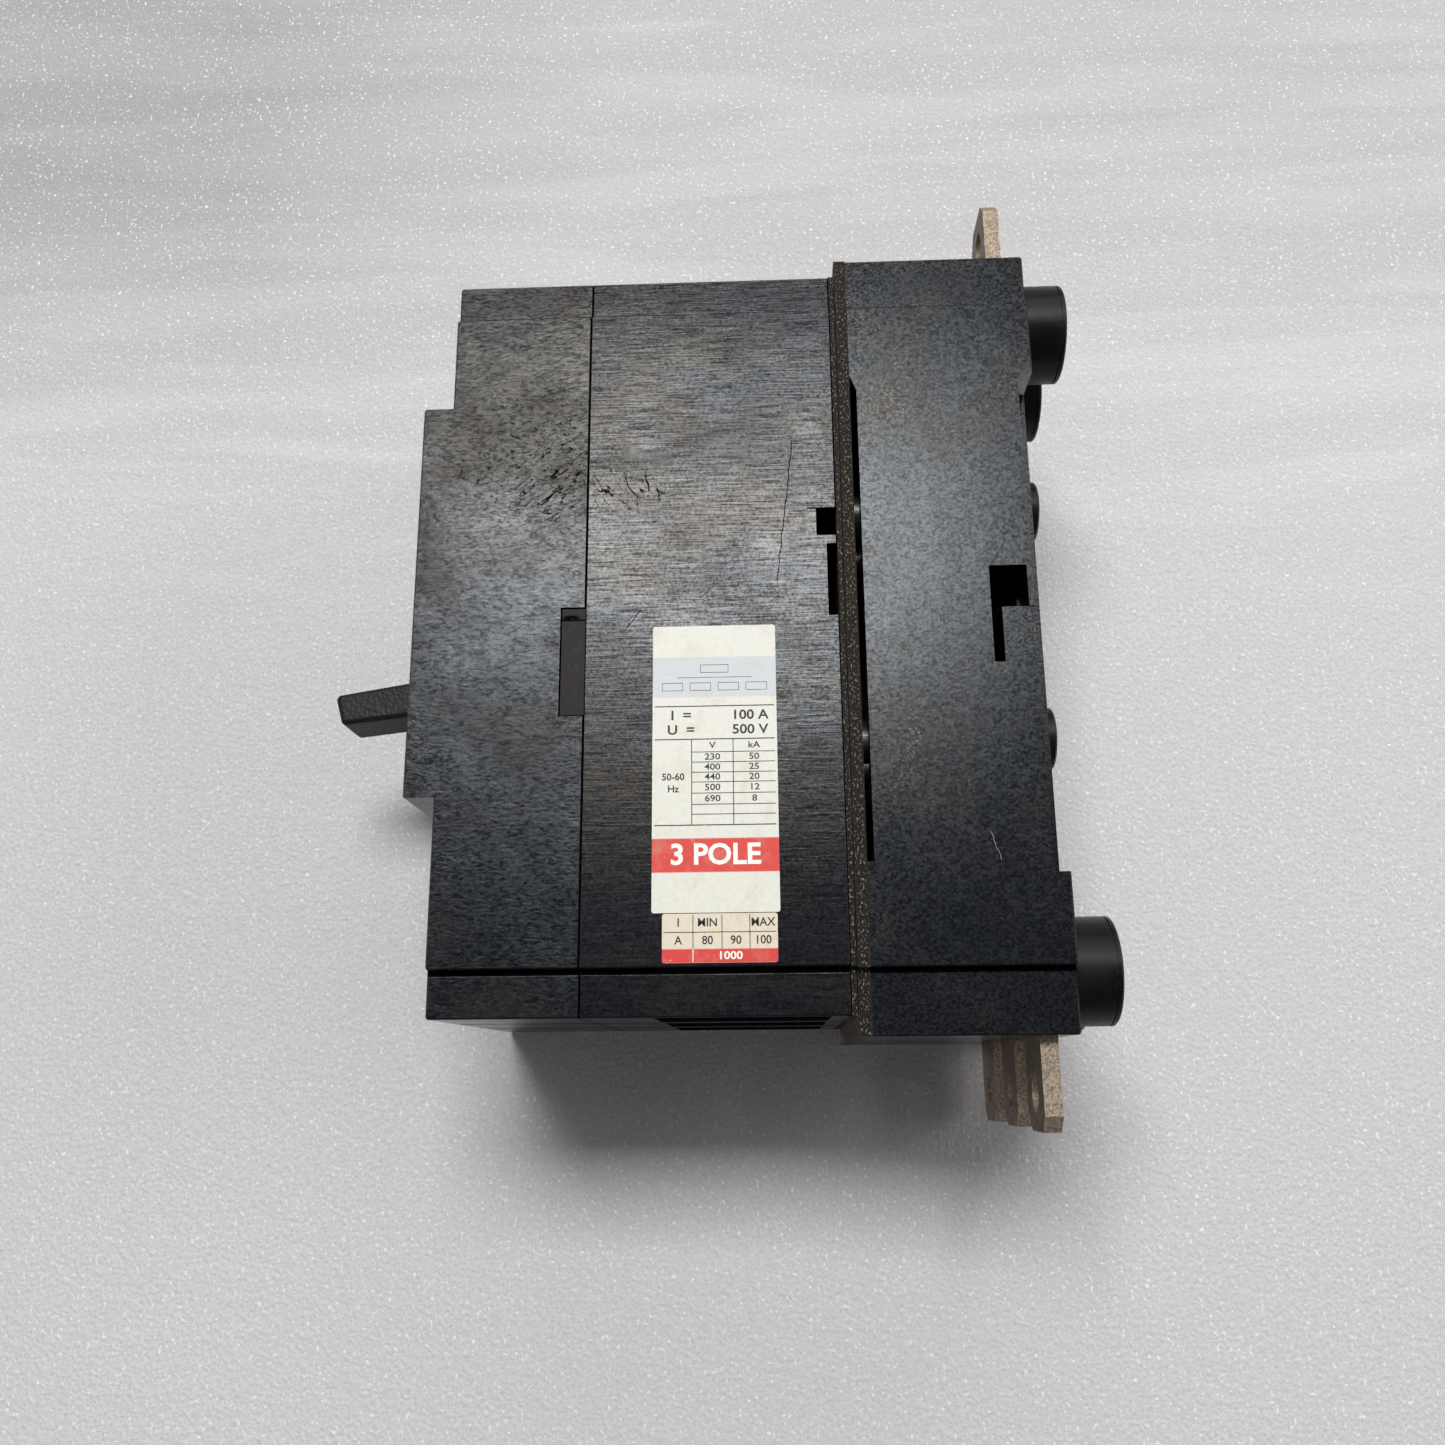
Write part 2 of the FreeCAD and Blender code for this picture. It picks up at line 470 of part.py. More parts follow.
def braid(x):
    """Flexible lead from the load conductor's post up to the foot of the contact arm."""
    foot = turned_point((CROSSBAR[0] - 0.5, CROSSBAR[1] - 12.4), CROSSBAR, ARM_OPEN)
    top = (foot[0] + 0.6, foot[1] - 1.0)
    points = [(-59.0, -36.0), (-59.0, -26.0), (-70.0, -17.0), top]
    return tube_path([Vector(x, p[0], p[1]) for p in points], 2.0)


def tube_path(points, radius):
    """A round tube along straight runs joined by tangent arcs."""
    edges = []
    start = points[0]
    for before, here, after in zip(points, points[1:], points[2:]):
        into, away = (here - before), (after - here)
        half_turn = into.getAngle(away) / 2
        bend = 0.45 * min(into.Length, away.Length)
        into.normalize()
        away.normalize()
        arc_start, arc_end = here - into * bend, here + away * bend
        centre_way = (away - into).normalize()
        bend_radius = bend / math.tan(half_turn)
        middle = here + centre_way * (bend_radius / math.cos(half_turn) - bend_radius)
        edges.append(Part.LineSegment(start, arc_start).toShape())
        edges.append(Part.Arc(arc_start, middle, arc_end).toShape())
        start = arc_end
    edges.append(Part.LineSegment(start, points[-1]).toShape())
    path = Part.Wire(edges)
    direction = points[1] - points[0]
    profile = Part.Wire(Part.makeCircle(radius, points[0], direction))
    return path.makePipeShell([profile], True, True)


def arc_chutes():
    plates, walls = [], []
    for x in POLES:
        for k in range(SPLITTER_COUNT):
            y = SPLITTER_FRONT + SPLITTER_PITCH * k
            plate = box((x - 10, x + 10), (y, y + SPLITTER_THICK), (51.6, 62.6))
            notch = box((x - 3.5, x + 3.5), (y - 1, y + SPLITTER_THICK + 1), (51.0, 55.5))
            plates.append(plate.cut(notch))
        walls += [box((x + s - 0.5, x + s + 0.5), (-96.0, -60.0), (44.0, 63.2)) for s in (-10.6, 10.6)]
    save("arc_splitter_plates", plates)
    save("arc_chute_walls", walls)


# ---- operating mechanism ------------------------------------------------
def toggle_pin_at():
    """Where both links meet in the tripped position, below the line between their outer pins."""
    arm_pin = (CROSSBAR[0] + LINK_ON_ARM[0], CROSSBAR[1] + LINK_ON_ARM[1])
    lower = turned_point(arm_pin, CROSSBAR, ARM_OPEN)
    dy, dz = lower[0] - CRADLE_LINK[0], lower[1] - CRADLE_LINK[1]
    apart = math.hypot(dy, dz)
    drop = math.sqrt(LINK_LENGTH ** 2 - (apart / 2) ** 2)
    middle = (CRADLE_LINK[0] + dy / 2, CRADLE_LINK[1] + dz / 2)
    return (middle[0] + dz / apart * drop, middle[1] - dy / apart * drop), lower


def mechanism_frame():
    outline = [(CASE_WALL_INNER, -18), (CASE_WALL_INNER, 28), (-66, 34), (-100, 38), (-109, 35.5),
               (-113.5, 31), (-116, 4), (-112, -20), (-100, -26), (-88, -28), (-78, -27), (-66, -20)]
    plate = plate_x(outline, FRAME_X)
    plate = plate.cut(rod_x(7.0 + RUNNING, (5, 15), CROSSBAR))
    plate = plate.cut(rod_x(PIVOT_R, (5, 15), HANDLE_PIVOT))
    for pin in (CRADLE_PIVOT, LATCH_PIVOT) + SPACER_AT:
        plate = plate.cut(rod_x(PIVOT_R, (5, 15), pin))
    save("mechanism_side_plates", mirrored(plate))
    save("frame_spacers", [spacer_rod(pin) for pin in SPACER_AT])
    save("pivot_rods", [spacer_rod(pin) for pin in (CRADLE_PIVOT, LATCH_PIVOT)])
    stub = rod_x(PIVOT_R, FRAME_X, HANDLE_PIVOT)
    stub = stub.fuse(rod_x(PIVOT_R + 0.6, (FRAME_X[1], YOKE_X[0] - 0.2), HANDLE_PIVOT))
    stub = stub.fuse(rod_x(PIVOT_R, (FRAME_X[1], 13.2), HANDLE_PIVOT)).removeSplitter()
    save("handle_pivot_studs", mirrored(stub))


def spacer_rod(at):
    return rod_x(PIVOT_R, (-FRAME_X[1], FRAME_X[1]), at)


def handle_parts():
    tilt = HANDLE_REST
    hy, hz = HANDLE_PIVOT
    # yoke: two side arms and the bridge that carries the handle
    end = hy - YOKE_REACH
    arm = plate_x([(hy + 4, hz - 4), (hy + 4, hz + 4), (end, hz + 5.5), (end, hz - 5.5)], YOKE_X)
    arm = arm.cut(rod_x(PIVOT_R + RUNNING, (5, 15), HANDLE_PIVOT))
    bridge = box((-YOKE_X[1], YOKE_X[1]), (end, end + 1.4), (hz - 5.5, hz + 5.5))
    yoke = bridge.multiFuse(mirrored(arm)).removeSplitter()
    save("handle_yoke", turned(yoke, HANDLE_PIVOT, tilt))
    # handle: root block, curved shroud that closes the window, tapering grip
    root = hy - SHROUD_R + 1
    block = box((-6.0, 6.0), (root, end), (hz - 4.0, hz + 4.0))
    across = (-SHROUD_HALF_W, SHROUD_HALF_W)
    shroud = rod_x(SHROUD_R, across, HANDLE_PIVOT)
    shroud = shroud.cut(rod_x(SHROUD_R - 2, (-SHROUD_HALF_W - 1, SHROUD_HALF_W + 1), HANDLE_PIVOT))
    reach, spread = 80.0, math.radians(49.0)
    back, rise = reach * math.cos(spread), reach * math.sin(spread)
    wedge = [(hy, hz), (hy - back, hz + rise), (hy - reach, hz + reach), (hy - reach, hz - reach),
             (hy - back, hz - rise)]
    shroud = shroud.common(plate_x(wedge, across))
    outline = [(root, hz - 4.7), (root, hz + 4.7), (hy - 77.0, hz + 3.9), (hy - 76.0, hz - 3.9)]
    grip = plate_x(outline, (-7.4, 7.4))
    grip = grip.makeFillet(1.3, [e for e in grip.Edges if e.BoundBox.YMin < hy - 60])
    handle = block.multiFuse([shroud, grip]).removeSplitter()
    save("handle", turned(handle, HANDLE_PIVOT, tilt))


def cradle():
    hy, hz = HANDLE_PIVOT
    band = []
    angles = (31, 20, 8, -4, -16, -28, -40, -54)
    for radius, order in ((26.5, angles), (19.5, angles[::-1])):
        for angle in order:
            turn = math.radians(angle)
            band.append((hy - radius * math.cos(turn), hz + radius * math.sin(turn)))
    side = plate_x(band, CRADLE_X)
    side = side.fuse(link_x(CRADLE_LINK, CRADLE_PIVOT, 8.0, CRADLE_X))
    side = side.fuse(rod_x(3.6, CRADLE_X, CRADLE_NOSE)).removeSplitter()
    side = side.cut(rod_x(PIVOT_R + RUNNING, (5, 10), CRADLE_PIVOT))
    side = side.cut(rod_x(LINK_PIN_R, (5, 10), CRADLE_LINK))
    sides = mirrored(side)
    nose = rod_x(PIVOT_R, (-CRADLE_X[1], CRADLE_X[1]), CRADLE_NOSE)
    save("cradle", sides[0].multiFuse([sides[1], nose]).removeSplitter())
    save("cradle_link_pins", mirrored(rod_x(LINK_PIN_R, (UPPER_LINK_X[0], CRADLE_X[1]), CRADLE_LINK)))


def toggle_links():
    knee, arm_pin = toggle_pin_at()
    upper = link_x(CRADLE_LINK, knee, 6.0, UPPER_LINK_X)
    upper = upper.cut(rod_x(LINK_PIN_R + RUNNING, (5, 8), CRADLE_LINK)).cut(rod_x(2.2, (5, 8), knee))
    save("upper_links", mirrored(upper))
    lower = link_x(arm_pin, knee, 6.0, LOWER_LINK_X)
    lower = lower.cut(rod_x(LINK_PIN_R + RUNNING, (3, 6), arm_pin)).cut(rod_x(LINK_PIN_R, (3, 6), knee))
    save("lower_links", mirrored(lower))
    save("toggle_pin", rod_x(LINK_PIN_R, (-5.2, 5.2), knee))
    save("arm_link_pin", rod_x(LINK_PIN_R, (-5.2, 5.2), arm_pin))
    hy, hz = HANDLE_PIVOT
    hook = turned_point((hy - 28.6, hz), HANDLE_PIVOT, HANDLE_REST)
    spring = coil_sleeve((0.0, knee[0] - 2.2, knee[1] - 0.3), (0.0, hook[0], hook[1]), 2.6, 0.45)
    save("toggle_spring", spring)


# ---- trip parts ---------------------------------------------------------
def latch():
    """Shown released, as after a trip: its hook hangs below the path of the cradle's nose."""
    hub = rod_x(3.2, (-8.0, 8.0), LATCH_PIVOT)
    hook = plate_x([(-84.0, -24.5), (-84.0, -19.5), (-99.0, -21.5), (-100.2, -18.0), (-102.2, -18.0),
                    (-102.2, -24.5)], (-2.0, 2.0))
    tail = link_x(LATCH_PIVOT, (-92.0, -36.5), 4.0, (6.6, 8.0))
    lever = hub.multiFuse([hook, tail]).removeSplitter()
    lever = lever.cut(rod_x(PIVOT_R + RUNNING, (-9, 9), LATCH_PIVOT))
    save("latch_lever", turned(lever, LATCH_PIVOT, LATCH_RELEASED))


def trip_unit():
    by, bz = TRIP_BAR
    bar = rod_x(TRIP_BAR_R, (-40.0, 40.0), TRIP_BAR)
    parts = [plate_x([(by - 1, bz), (by - 1, bz - 20), (by - 2.5, bz - 20), (by - 2.5, bz)],
                     (BUTTON_X - 1.5, BUTTON_X + 1.5)),
             plate_x([(by, bz + 1), (by, bz + 3), (-97.0, bz + 3.6), (-97.0, bz + 1.6)], (6.7, 8.7))]
    for x in POLES:
        parts.append(plate_x([(by - 1.2, bz), (by + 1.2, bz), (by + 1.2, -47.2), (-105, -47.2), (-105, -45.2),
                              (by - 1.2, -45.2)], (x - 2.5, x + 2.5)))
        parts.append(plate_x([(by, -56.0), (by, -54.8), (-104, -55.2), (-104, -56.4)], (x - 5, x + 5)))
    save("trip_bar", bar.multiFuse(parts).removeSplitter())
    flaps, strips, yokes = [], [], []
    for x in POLES:
        flaps.append(box((x - 9, x + 9), (-104.0, -80.0), (-56.4, -55.2)))
        strips.append(box((x - 4, x + 4), (-111.0, -54.0), (-50.2, -49.0)).fuse(
            box((x - 4, x + 4), (-60.0, -54.0), (-49.0, -47.0))).removeSplitter())
        yoke = box((x - 9.5, x + 9.5), (-94.0, -80.0), (-50.5, -42.0))
        yokes.append(yoke.cut(box((x - 7.5, x + 7.5), (-95.0, -79.0), (-52.0, -43.6))))
    save("armature_flaps", flaps)
    save("bimetal_strips", strips)
    save("magnet_yokes", yokes)
    bracket = [box((x - 0.9, x + 0.9), (by - 6.0, JOINT), (bz - 6.0, bz + 6.0)) for x in WALLS_BETWEEN]
    save("trip_bar_brackets", [b.cut(rod_x(TRIP_BAR_R + RUNNING, (-50, 50), TRIP_BAR)) for b in bracket])
    spring = coil_sleeve((-39.8, by, bz), (-35.8, by, bz), TRIP_BAR_R + 0.9, 0.4)
    save("trip_bar_spring", spring)


def front_controls():
    at = (BUTTON_X, BUTTON_Z)
    cap = soften(rod_y(BUTTON_R, (BUTTON_FRONT, BUTTON_SHOULDER), at), 0.5, end_rim(BUTTON_FRONT))
    button = cap.fuse(rod_y(1.6, (BUTTON_SHOULDER - 0.3, TRIP_BAR[0] - 2.7), at)).removeSplitter()
    save("trip_button", button)
    ends = [(BUTTON_X, y, BUTTON_Z) for y in (BUTTON_SHOULDER + 0.05, -124.05)]
    spring = coil_sleeve(ends[0], ends[1], 2.9, 0.35)
    save("trip_button_spring", spring)
    at = (DIAL_X, DIAL_Z)
    dial = soften(rod_y(DIAL_R, (DIAL_FRONT, DIAL_FRONT + 2), at), 0.3, end_rim(DIAL_FRONT))
    dial = dial.cut(box((DIAL_X - 0.7, DIAL_X + 0.7), (-134.0, -132.5), (DIAL_Z - 5.0, DIAL_Z + 5.0)))
    dial = dial.fuse(rod_y(4.0, (-131.5, -129.6), at)).fuse(rod_y(5.2, (-129.6, -128.4), at))
    save("adjusting_dial", dial.removeSplitter())


def build():
    os.makedirs("parts", exist_ok=True)
    plug_in_base()
    base_contacts()
    terminals()
    insulating_plates()
    assembly_hardware()
    case()
    front_cover()
    housing_trim()
    contacts()
    conductors()
    arc_chutes()
    mechanism_frame()
    handle_parts()
    cradle()
    toggle_links()
    latch()
    trip_unit()
    front_controls()


build()
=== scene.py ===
import math

import bmesh
import bpy
from mathutils import Matrix, Vector


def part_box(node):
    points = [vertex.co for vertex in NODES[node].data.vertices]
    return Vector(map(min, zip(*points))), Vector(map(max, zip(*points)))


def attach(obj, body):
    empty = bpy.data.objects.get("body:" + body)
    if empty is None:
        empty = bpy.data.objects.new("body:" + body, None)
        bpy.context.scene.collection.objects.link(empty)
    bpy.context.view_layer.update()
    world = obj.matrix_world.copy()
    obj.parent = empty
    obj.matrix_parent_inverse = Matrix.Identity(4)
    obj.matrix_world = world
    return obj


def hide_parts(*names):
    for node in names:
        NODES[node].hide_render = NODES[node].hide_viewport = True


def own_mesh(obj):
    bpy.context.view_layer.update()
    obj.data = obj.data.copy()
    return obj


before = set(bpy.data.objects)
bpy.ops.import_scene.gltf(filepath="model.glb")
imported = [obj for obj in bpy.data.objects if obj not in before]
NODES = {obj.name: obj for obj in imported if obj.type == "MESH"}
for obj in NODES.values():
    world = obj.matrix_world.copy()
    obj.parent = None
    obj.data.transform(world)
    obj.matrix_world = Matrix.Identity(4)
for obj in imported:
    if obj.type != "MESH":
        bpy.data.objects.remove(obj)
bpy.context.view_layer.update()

# Three-pole plug-in moulded case breaker: X across the poles, Y front to rear, Z up.
# Blender works in metres, in the frame of the CAD model; MM turns millimetres into metres.
MM = 0.001

# Printing on the side labels lies on their outer face.
LABEL_LOW, LABEL_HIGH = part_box("rating_label")
TRIP_LOW, TRIP_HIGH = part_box("trip_label")
CASE_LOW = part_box("case")[0]
STAGE_X = CASE_LOW.x - 0.2 * MM
STAGE_HALF = 2.2               # half the side of the backdrop sheet, in metres
MIDDLE = (0.0, -0.07, 0.0)     # what the lights aim at and the backdrop is centred behind

# Places on the mouldings, in millimetres.
JOINT_Y = CASE_LOW.y / MM      # where the cover meets the case
CASE_REAR_Y = (-45.85, -45.0)  # the case's rear rim
SIDE_GROOVE_Z = (-76.4, -75.1)
BASE_GROOVE_Z = (-76.6, -75.4)
RECESS_X = 44.4                # walls of side openings lie inside this
CASE_NOTCH = ((-50.0, -45.0), (-0.1, 25.5))
BASE_POCKET = ((-12.9, -4.85), (-11.5, 10.8))
SIDE_PLUG_FRONT = -106.6       # front edge of the insert in each side of the cover
PLUG_SEAT_Z, PLUG_INNER_Z = (-22.2, 3.4), (-21.5, 2.7)

# Single handling marks on the side faces, as strokes between (y, z) places.
LONG_SCRATCH = ((-55, 42), (-59, 8))
SHORT_SCRATCH = ((-92, -2), (-89, 2))
BASE_SCRATCH = ((-16, -48), (-14, -54))

# Tints that multiply a grey, and the black painted as shade into gaps, grooves and deep openings.
BLUISH = (0.84, 0.96, 1.25)
BROWNISH = (1.25, 1.0, 0.82)
SHADE_BLACK = 0.0015
COOL_SHEEN, WARM_SHEEN = (0.93, 0.965, 1.0), (1.0, 0.96, 0.89)


# ---- node materials -----------------------------------------------------
class Surface:
    """A node material whose textures are fixed to the piece, in millimetres."""

    def __init__(self, name, metallic=0.0, specular=0.5):
        self.material = bpy.data.materials.new(name)
        self.material.use_nodes = True
        self.nodes = self.material.node_tree.nodes
        self.links = self.material.node_tree.links
        self.nodes.clear()
        self.shader = self.add("ShaderNodeBsdfPrincipled")
        self.shader.inputs["Metallic"].default_value = metallic
        self.shader.inputs["Specular IOR Level"].default_value = specular
        self.output = self.add("ShaderNodeOutputMaterial")
        self.join(self.shader.outputs[0], self.output.inputs[0])
        coordinates = self.add("ShaderNodeTexCoord")
        scale = self.add("ShaderNodeVectorMath", operation="SCALE")
        scale.inputs["Scale"].default_value = 1 / MM
        self.join(coordinates.outputs["Object"], scale.inputs[0])
        self.place = scale.outputs[0]

    def add(self, kind, **settings):
        node = self.nodes.new(kind)
        for key, value in settings.items():
            setattr(node, key, value)
        return node

    def join(self, source, target):
        self.links.new(source, target)

    def put(self, value, target):
        """Links an output, or sets a plain number or colour."""
        if isinstance(value, bpy.types.NodeSocket):
            self.join(value, target)
        elif isinstance(value, tuple):
            target.default_value = (*value[:3], 1.0)
        else:
            target.default_value = value

    def math(self, operation, a, b=0.0):
        node = self.add("ShaderNodeMath", operation=operation)
        self.put(a, node.inputs[0])
        self.put(b, node.inputs[1])
        return node.outputs[0]

    def turned(self, angle):
        """Places turned about X, so that a stretch along Y runs at an angle, in degrees."""
        node = self.add("ShaderNodeVectorRotate", rotation_type="X_AXIS")
        self.join(self.place, node.inputs["Vector"])
        node.inputs["Angle"].default_value = -math.radians(angle)
        return node.outputs[0]

    def stretched(self, size, stretch, shift=0.0, place=None):
        node = self.add("ShaderNodeVectorMath", operation="MULTIPLY_ADD")
        self.join(place or self.place, node.inputs[0])
        node.inputs[1].default_value = [1 / (size * s) for s in stretch]
        node.inputs[2].default_value = (shift, shift, shift)
        return node.outputs[0]

    def noise(self, size, detail=4.0, rough=0.6, stretch=(1, 1, 1), shift=0.0, warp=0.0, place=None):
        node = self.add("ShaderNodeTexNoise")
        node.inputs["Scale"].default_value = 1.0
        node.inputs["Detail"].default_value = detail
        node.inputs["Roughness"].default_value = rough
        node.inputs["Distortion"].default_value = warp
        self.join(self.stretched(size, stretch, shift, place), node.inputs["Vector"])
        return node.outputs[0]

    def cells(self, size, stretch=(1, 1, 1), shift=0.0):
        node = self.add("ShaderNodeTexVoronoi", feature="F1")
        node.inputs["Scale"].default_value = 1.0
        self.join(self.stretched(size, stretch, shift), node.inputs["Vector"])
        return node.outputs["Distance"]

    def levels(self, value, low, high, to_low=0.0, to_high=1.0):
        node = self.add("ShaderNodeMapRange")
        self.put(value, node.inputs["Value"])
        limits = {"From Min": low, "From Max": high, "To Min": to_low, "To Max": to_high}
        for name, number in limits.items():
            node.inputs[name].default_value = number
        return node.outputs[0]

    def mix(self, factor, a, b):
        node = self.add("ShaderNodeMix", data_type="RGBA")
        self.put(factor, node.inputs[0])
        self.put(a, node.inputs[6])
        self.put(b, node.inputs[7])
        return node.outputs[2]

    def axis(self, letter):
        node = self.add("ShaderNodeSeparateXYZ")
        self.join(self.place, node.inputs[0])
        return node.outputs[letter]

    def facing(self, letter):
        """How far the surface faces along an axis, 0 to 1, whichever way."""
        normal = self.add("ShaderNodeTexCoord").outputs["Normal"]
        node = self.add("ShaderNodeSeparateXYZ")
        self.join(normal, node.inputs[0])
        return self.math("ABSOLUTE", node.outputs[letter])

    def patch(self, centre, radii, soft=0.5):
        """1 inside an ellipsoid in millimetres, fading out over its rim."""
        move = self.add("ShaderNodeVectorMath", operation="SUBTRACT")
        self.join(self.place, move.inputs[0])
        move.inputs[1].default_value = centre
        scale = self.add("ShaderNodeVectorMath", operation="DIVIDE")
        self.join(move.outputs[0], scale.inputs[0])
        scale.inputs[1].default_value = radii
        length = self.add("ShaderNodeVectorMath", operation="LENGTH")
        self.join(scale.outputs[0], length.inputs[0])
        return self.levels(length.outputs["Value"], 1.0 + soft, 1.0 - soft)

    def band(self, letter, low, high, soft=0.12):
        """1 between two places along an axis."""
        along = self.axis(letter)
        rise = self.levels(along, low - soft, low + soft)
        fall = self.levels(along, high + soft, high - soft)
        return self.math("MULTIPLY", rise, fall)

    def scratch(self, start, end, width):
        """1 along a straight stroke between two (y, z) places, soft at its rims and ends."""
        (y0, z0), (y1, z1) = start, end
        length = math.hypot(y1 - y0, z1 - z0)
        along_y, along_z = (y1 - y0) / length, (z1 - z0) / length
        dy = self.math("SUBTRACT", self.axis("Y"), y0)
        dz = self.math("SUBTRACT", self.axis("Z"), z0)
        along = self.math("ADD", self.math("MULTIPLY", dy, along_y), self.math("MULTIPLY", dz, along_z))
        across = self.math("SUBTRACT", self.math("MULTIPLY", dz, along_y),
                           self.math("MULTIPLY", dy, along_z))
        wander = self.levels(self.noise(2.5, 3.0, 0.6, shift=y0), 0.3, 0.7, -width, width)
        off = self.math("ABSOLUTE", self.math("ADD", across, wander))
        line = self.levels(off, width / 2, width / 5)
        ends = self.math("MULTIPLY", self.levels(along, 0.0, 0.4), self.levels(along, length, length - 0.4))
        return self.math("MULTIPLY", line, ends)

    def hairlines(self, angle, size, shift, gap):
        """Short thin strokes that all run about one way, at an angle from +Y.

        They follow the middle level of a stretched noise, and a higher gap leaves fewer of them.
        """
        place = self.turned(angle)
        drift = self.noise(size, 2.0, 0.5, (1, 4, 1), shift, 0.3, place)
        off = self.math("ABSOLUTE", self.math("SUBTRACT", drift, 0.5))
        breaks = self.noise(size * 0.9, 2.0, 0.5, (1, 2, 1), shift + 7, 0.0, place)
        return self.math("MULTIPLY", self.levels(off, 0.022, 0.008), self.levels(breaks, gap, gap + 0.06))

    def worn_edge(self, radius, low=0.02, high=0.16):
        """1 on the sharp outer edges, broken up by a fine noise."""
        bevel = self.add("ShaderNodeBevel", samples=4)
        bevel.inputs["Radius"].default_value = radius * MM
        geometry = self.add("ShaderNodeNewGeometry")
        dot = self.add("ShaderNodeVectorMath", operation="DOT_PRODUCT")
        self.join(bevel.outputs[0], dot.inputs[0])
        self.join(geometry.outputs["Normal"], dot.inputs[1])
        bend = self.math("SUBTRACT", 1.0, dot.outputs["Value"])
        chips = self.levels(self.noise(2.2, 5.0, 0.7), 0.45, 0.62)
        return self.math("MULTIPLY", self.levels(bend, low, high), chips)

    def relief(self, height, depth, over=None):
        """A bump of a depth in millimetres, laid over another one where given."""
        node = self.add("ShaderNodeBump")
        node.inputs["Distance"].default_value = depth * MM
        node.inputs["Strength"].default_value = 1.0
        self.put(height, node.inputs["Height"])
        if over is not None:
            self.join(over, node.inputs["Normal"])
        return node.outputs[0]

    def recess(self, y, z):
        """1 on the walls of a deep opening in a side face, between y and z limits; the mouldings paint
        shade there.
        """
        inside = self.math("LESS_THAN", self.math("ABSOLUTE", self.axis("X")), RECESS_X)
        opening = self.math("MULTIPLY", self.band("Y", *y), self.band("Z", *z))
        return self.math("MULTIPLY", inside, opening)

    def tinge(self, warmth):
        """Colours the sheen from cool to warm, as oily rubbing does."""
        self.put(self.mix(warmth, COOL_SHEEN, WARM_SHEEN), self.shader.inputs["Specular Tint"])

    def finish(self, color, roughness, normal=None, specular=None):
        """Links what is given to the shader and returns the material."""
        self.put(color, self.shader.inputs["Base Color"])
        if specular is not None:
            self.put(specular, self.shader.inputs["Specular IOR Level"])
        self.put(roughness, self.shader.inputs["Roughness"])
        if normal is not None:
            self.join(normal, self.shader.inputs["Normal"])
        return self.material


def shade(level, tint=(1.0, 1.0, 1.0)):
    """A grey, or a tinted dark shade."""
    return tuple(level * part for part in tint)


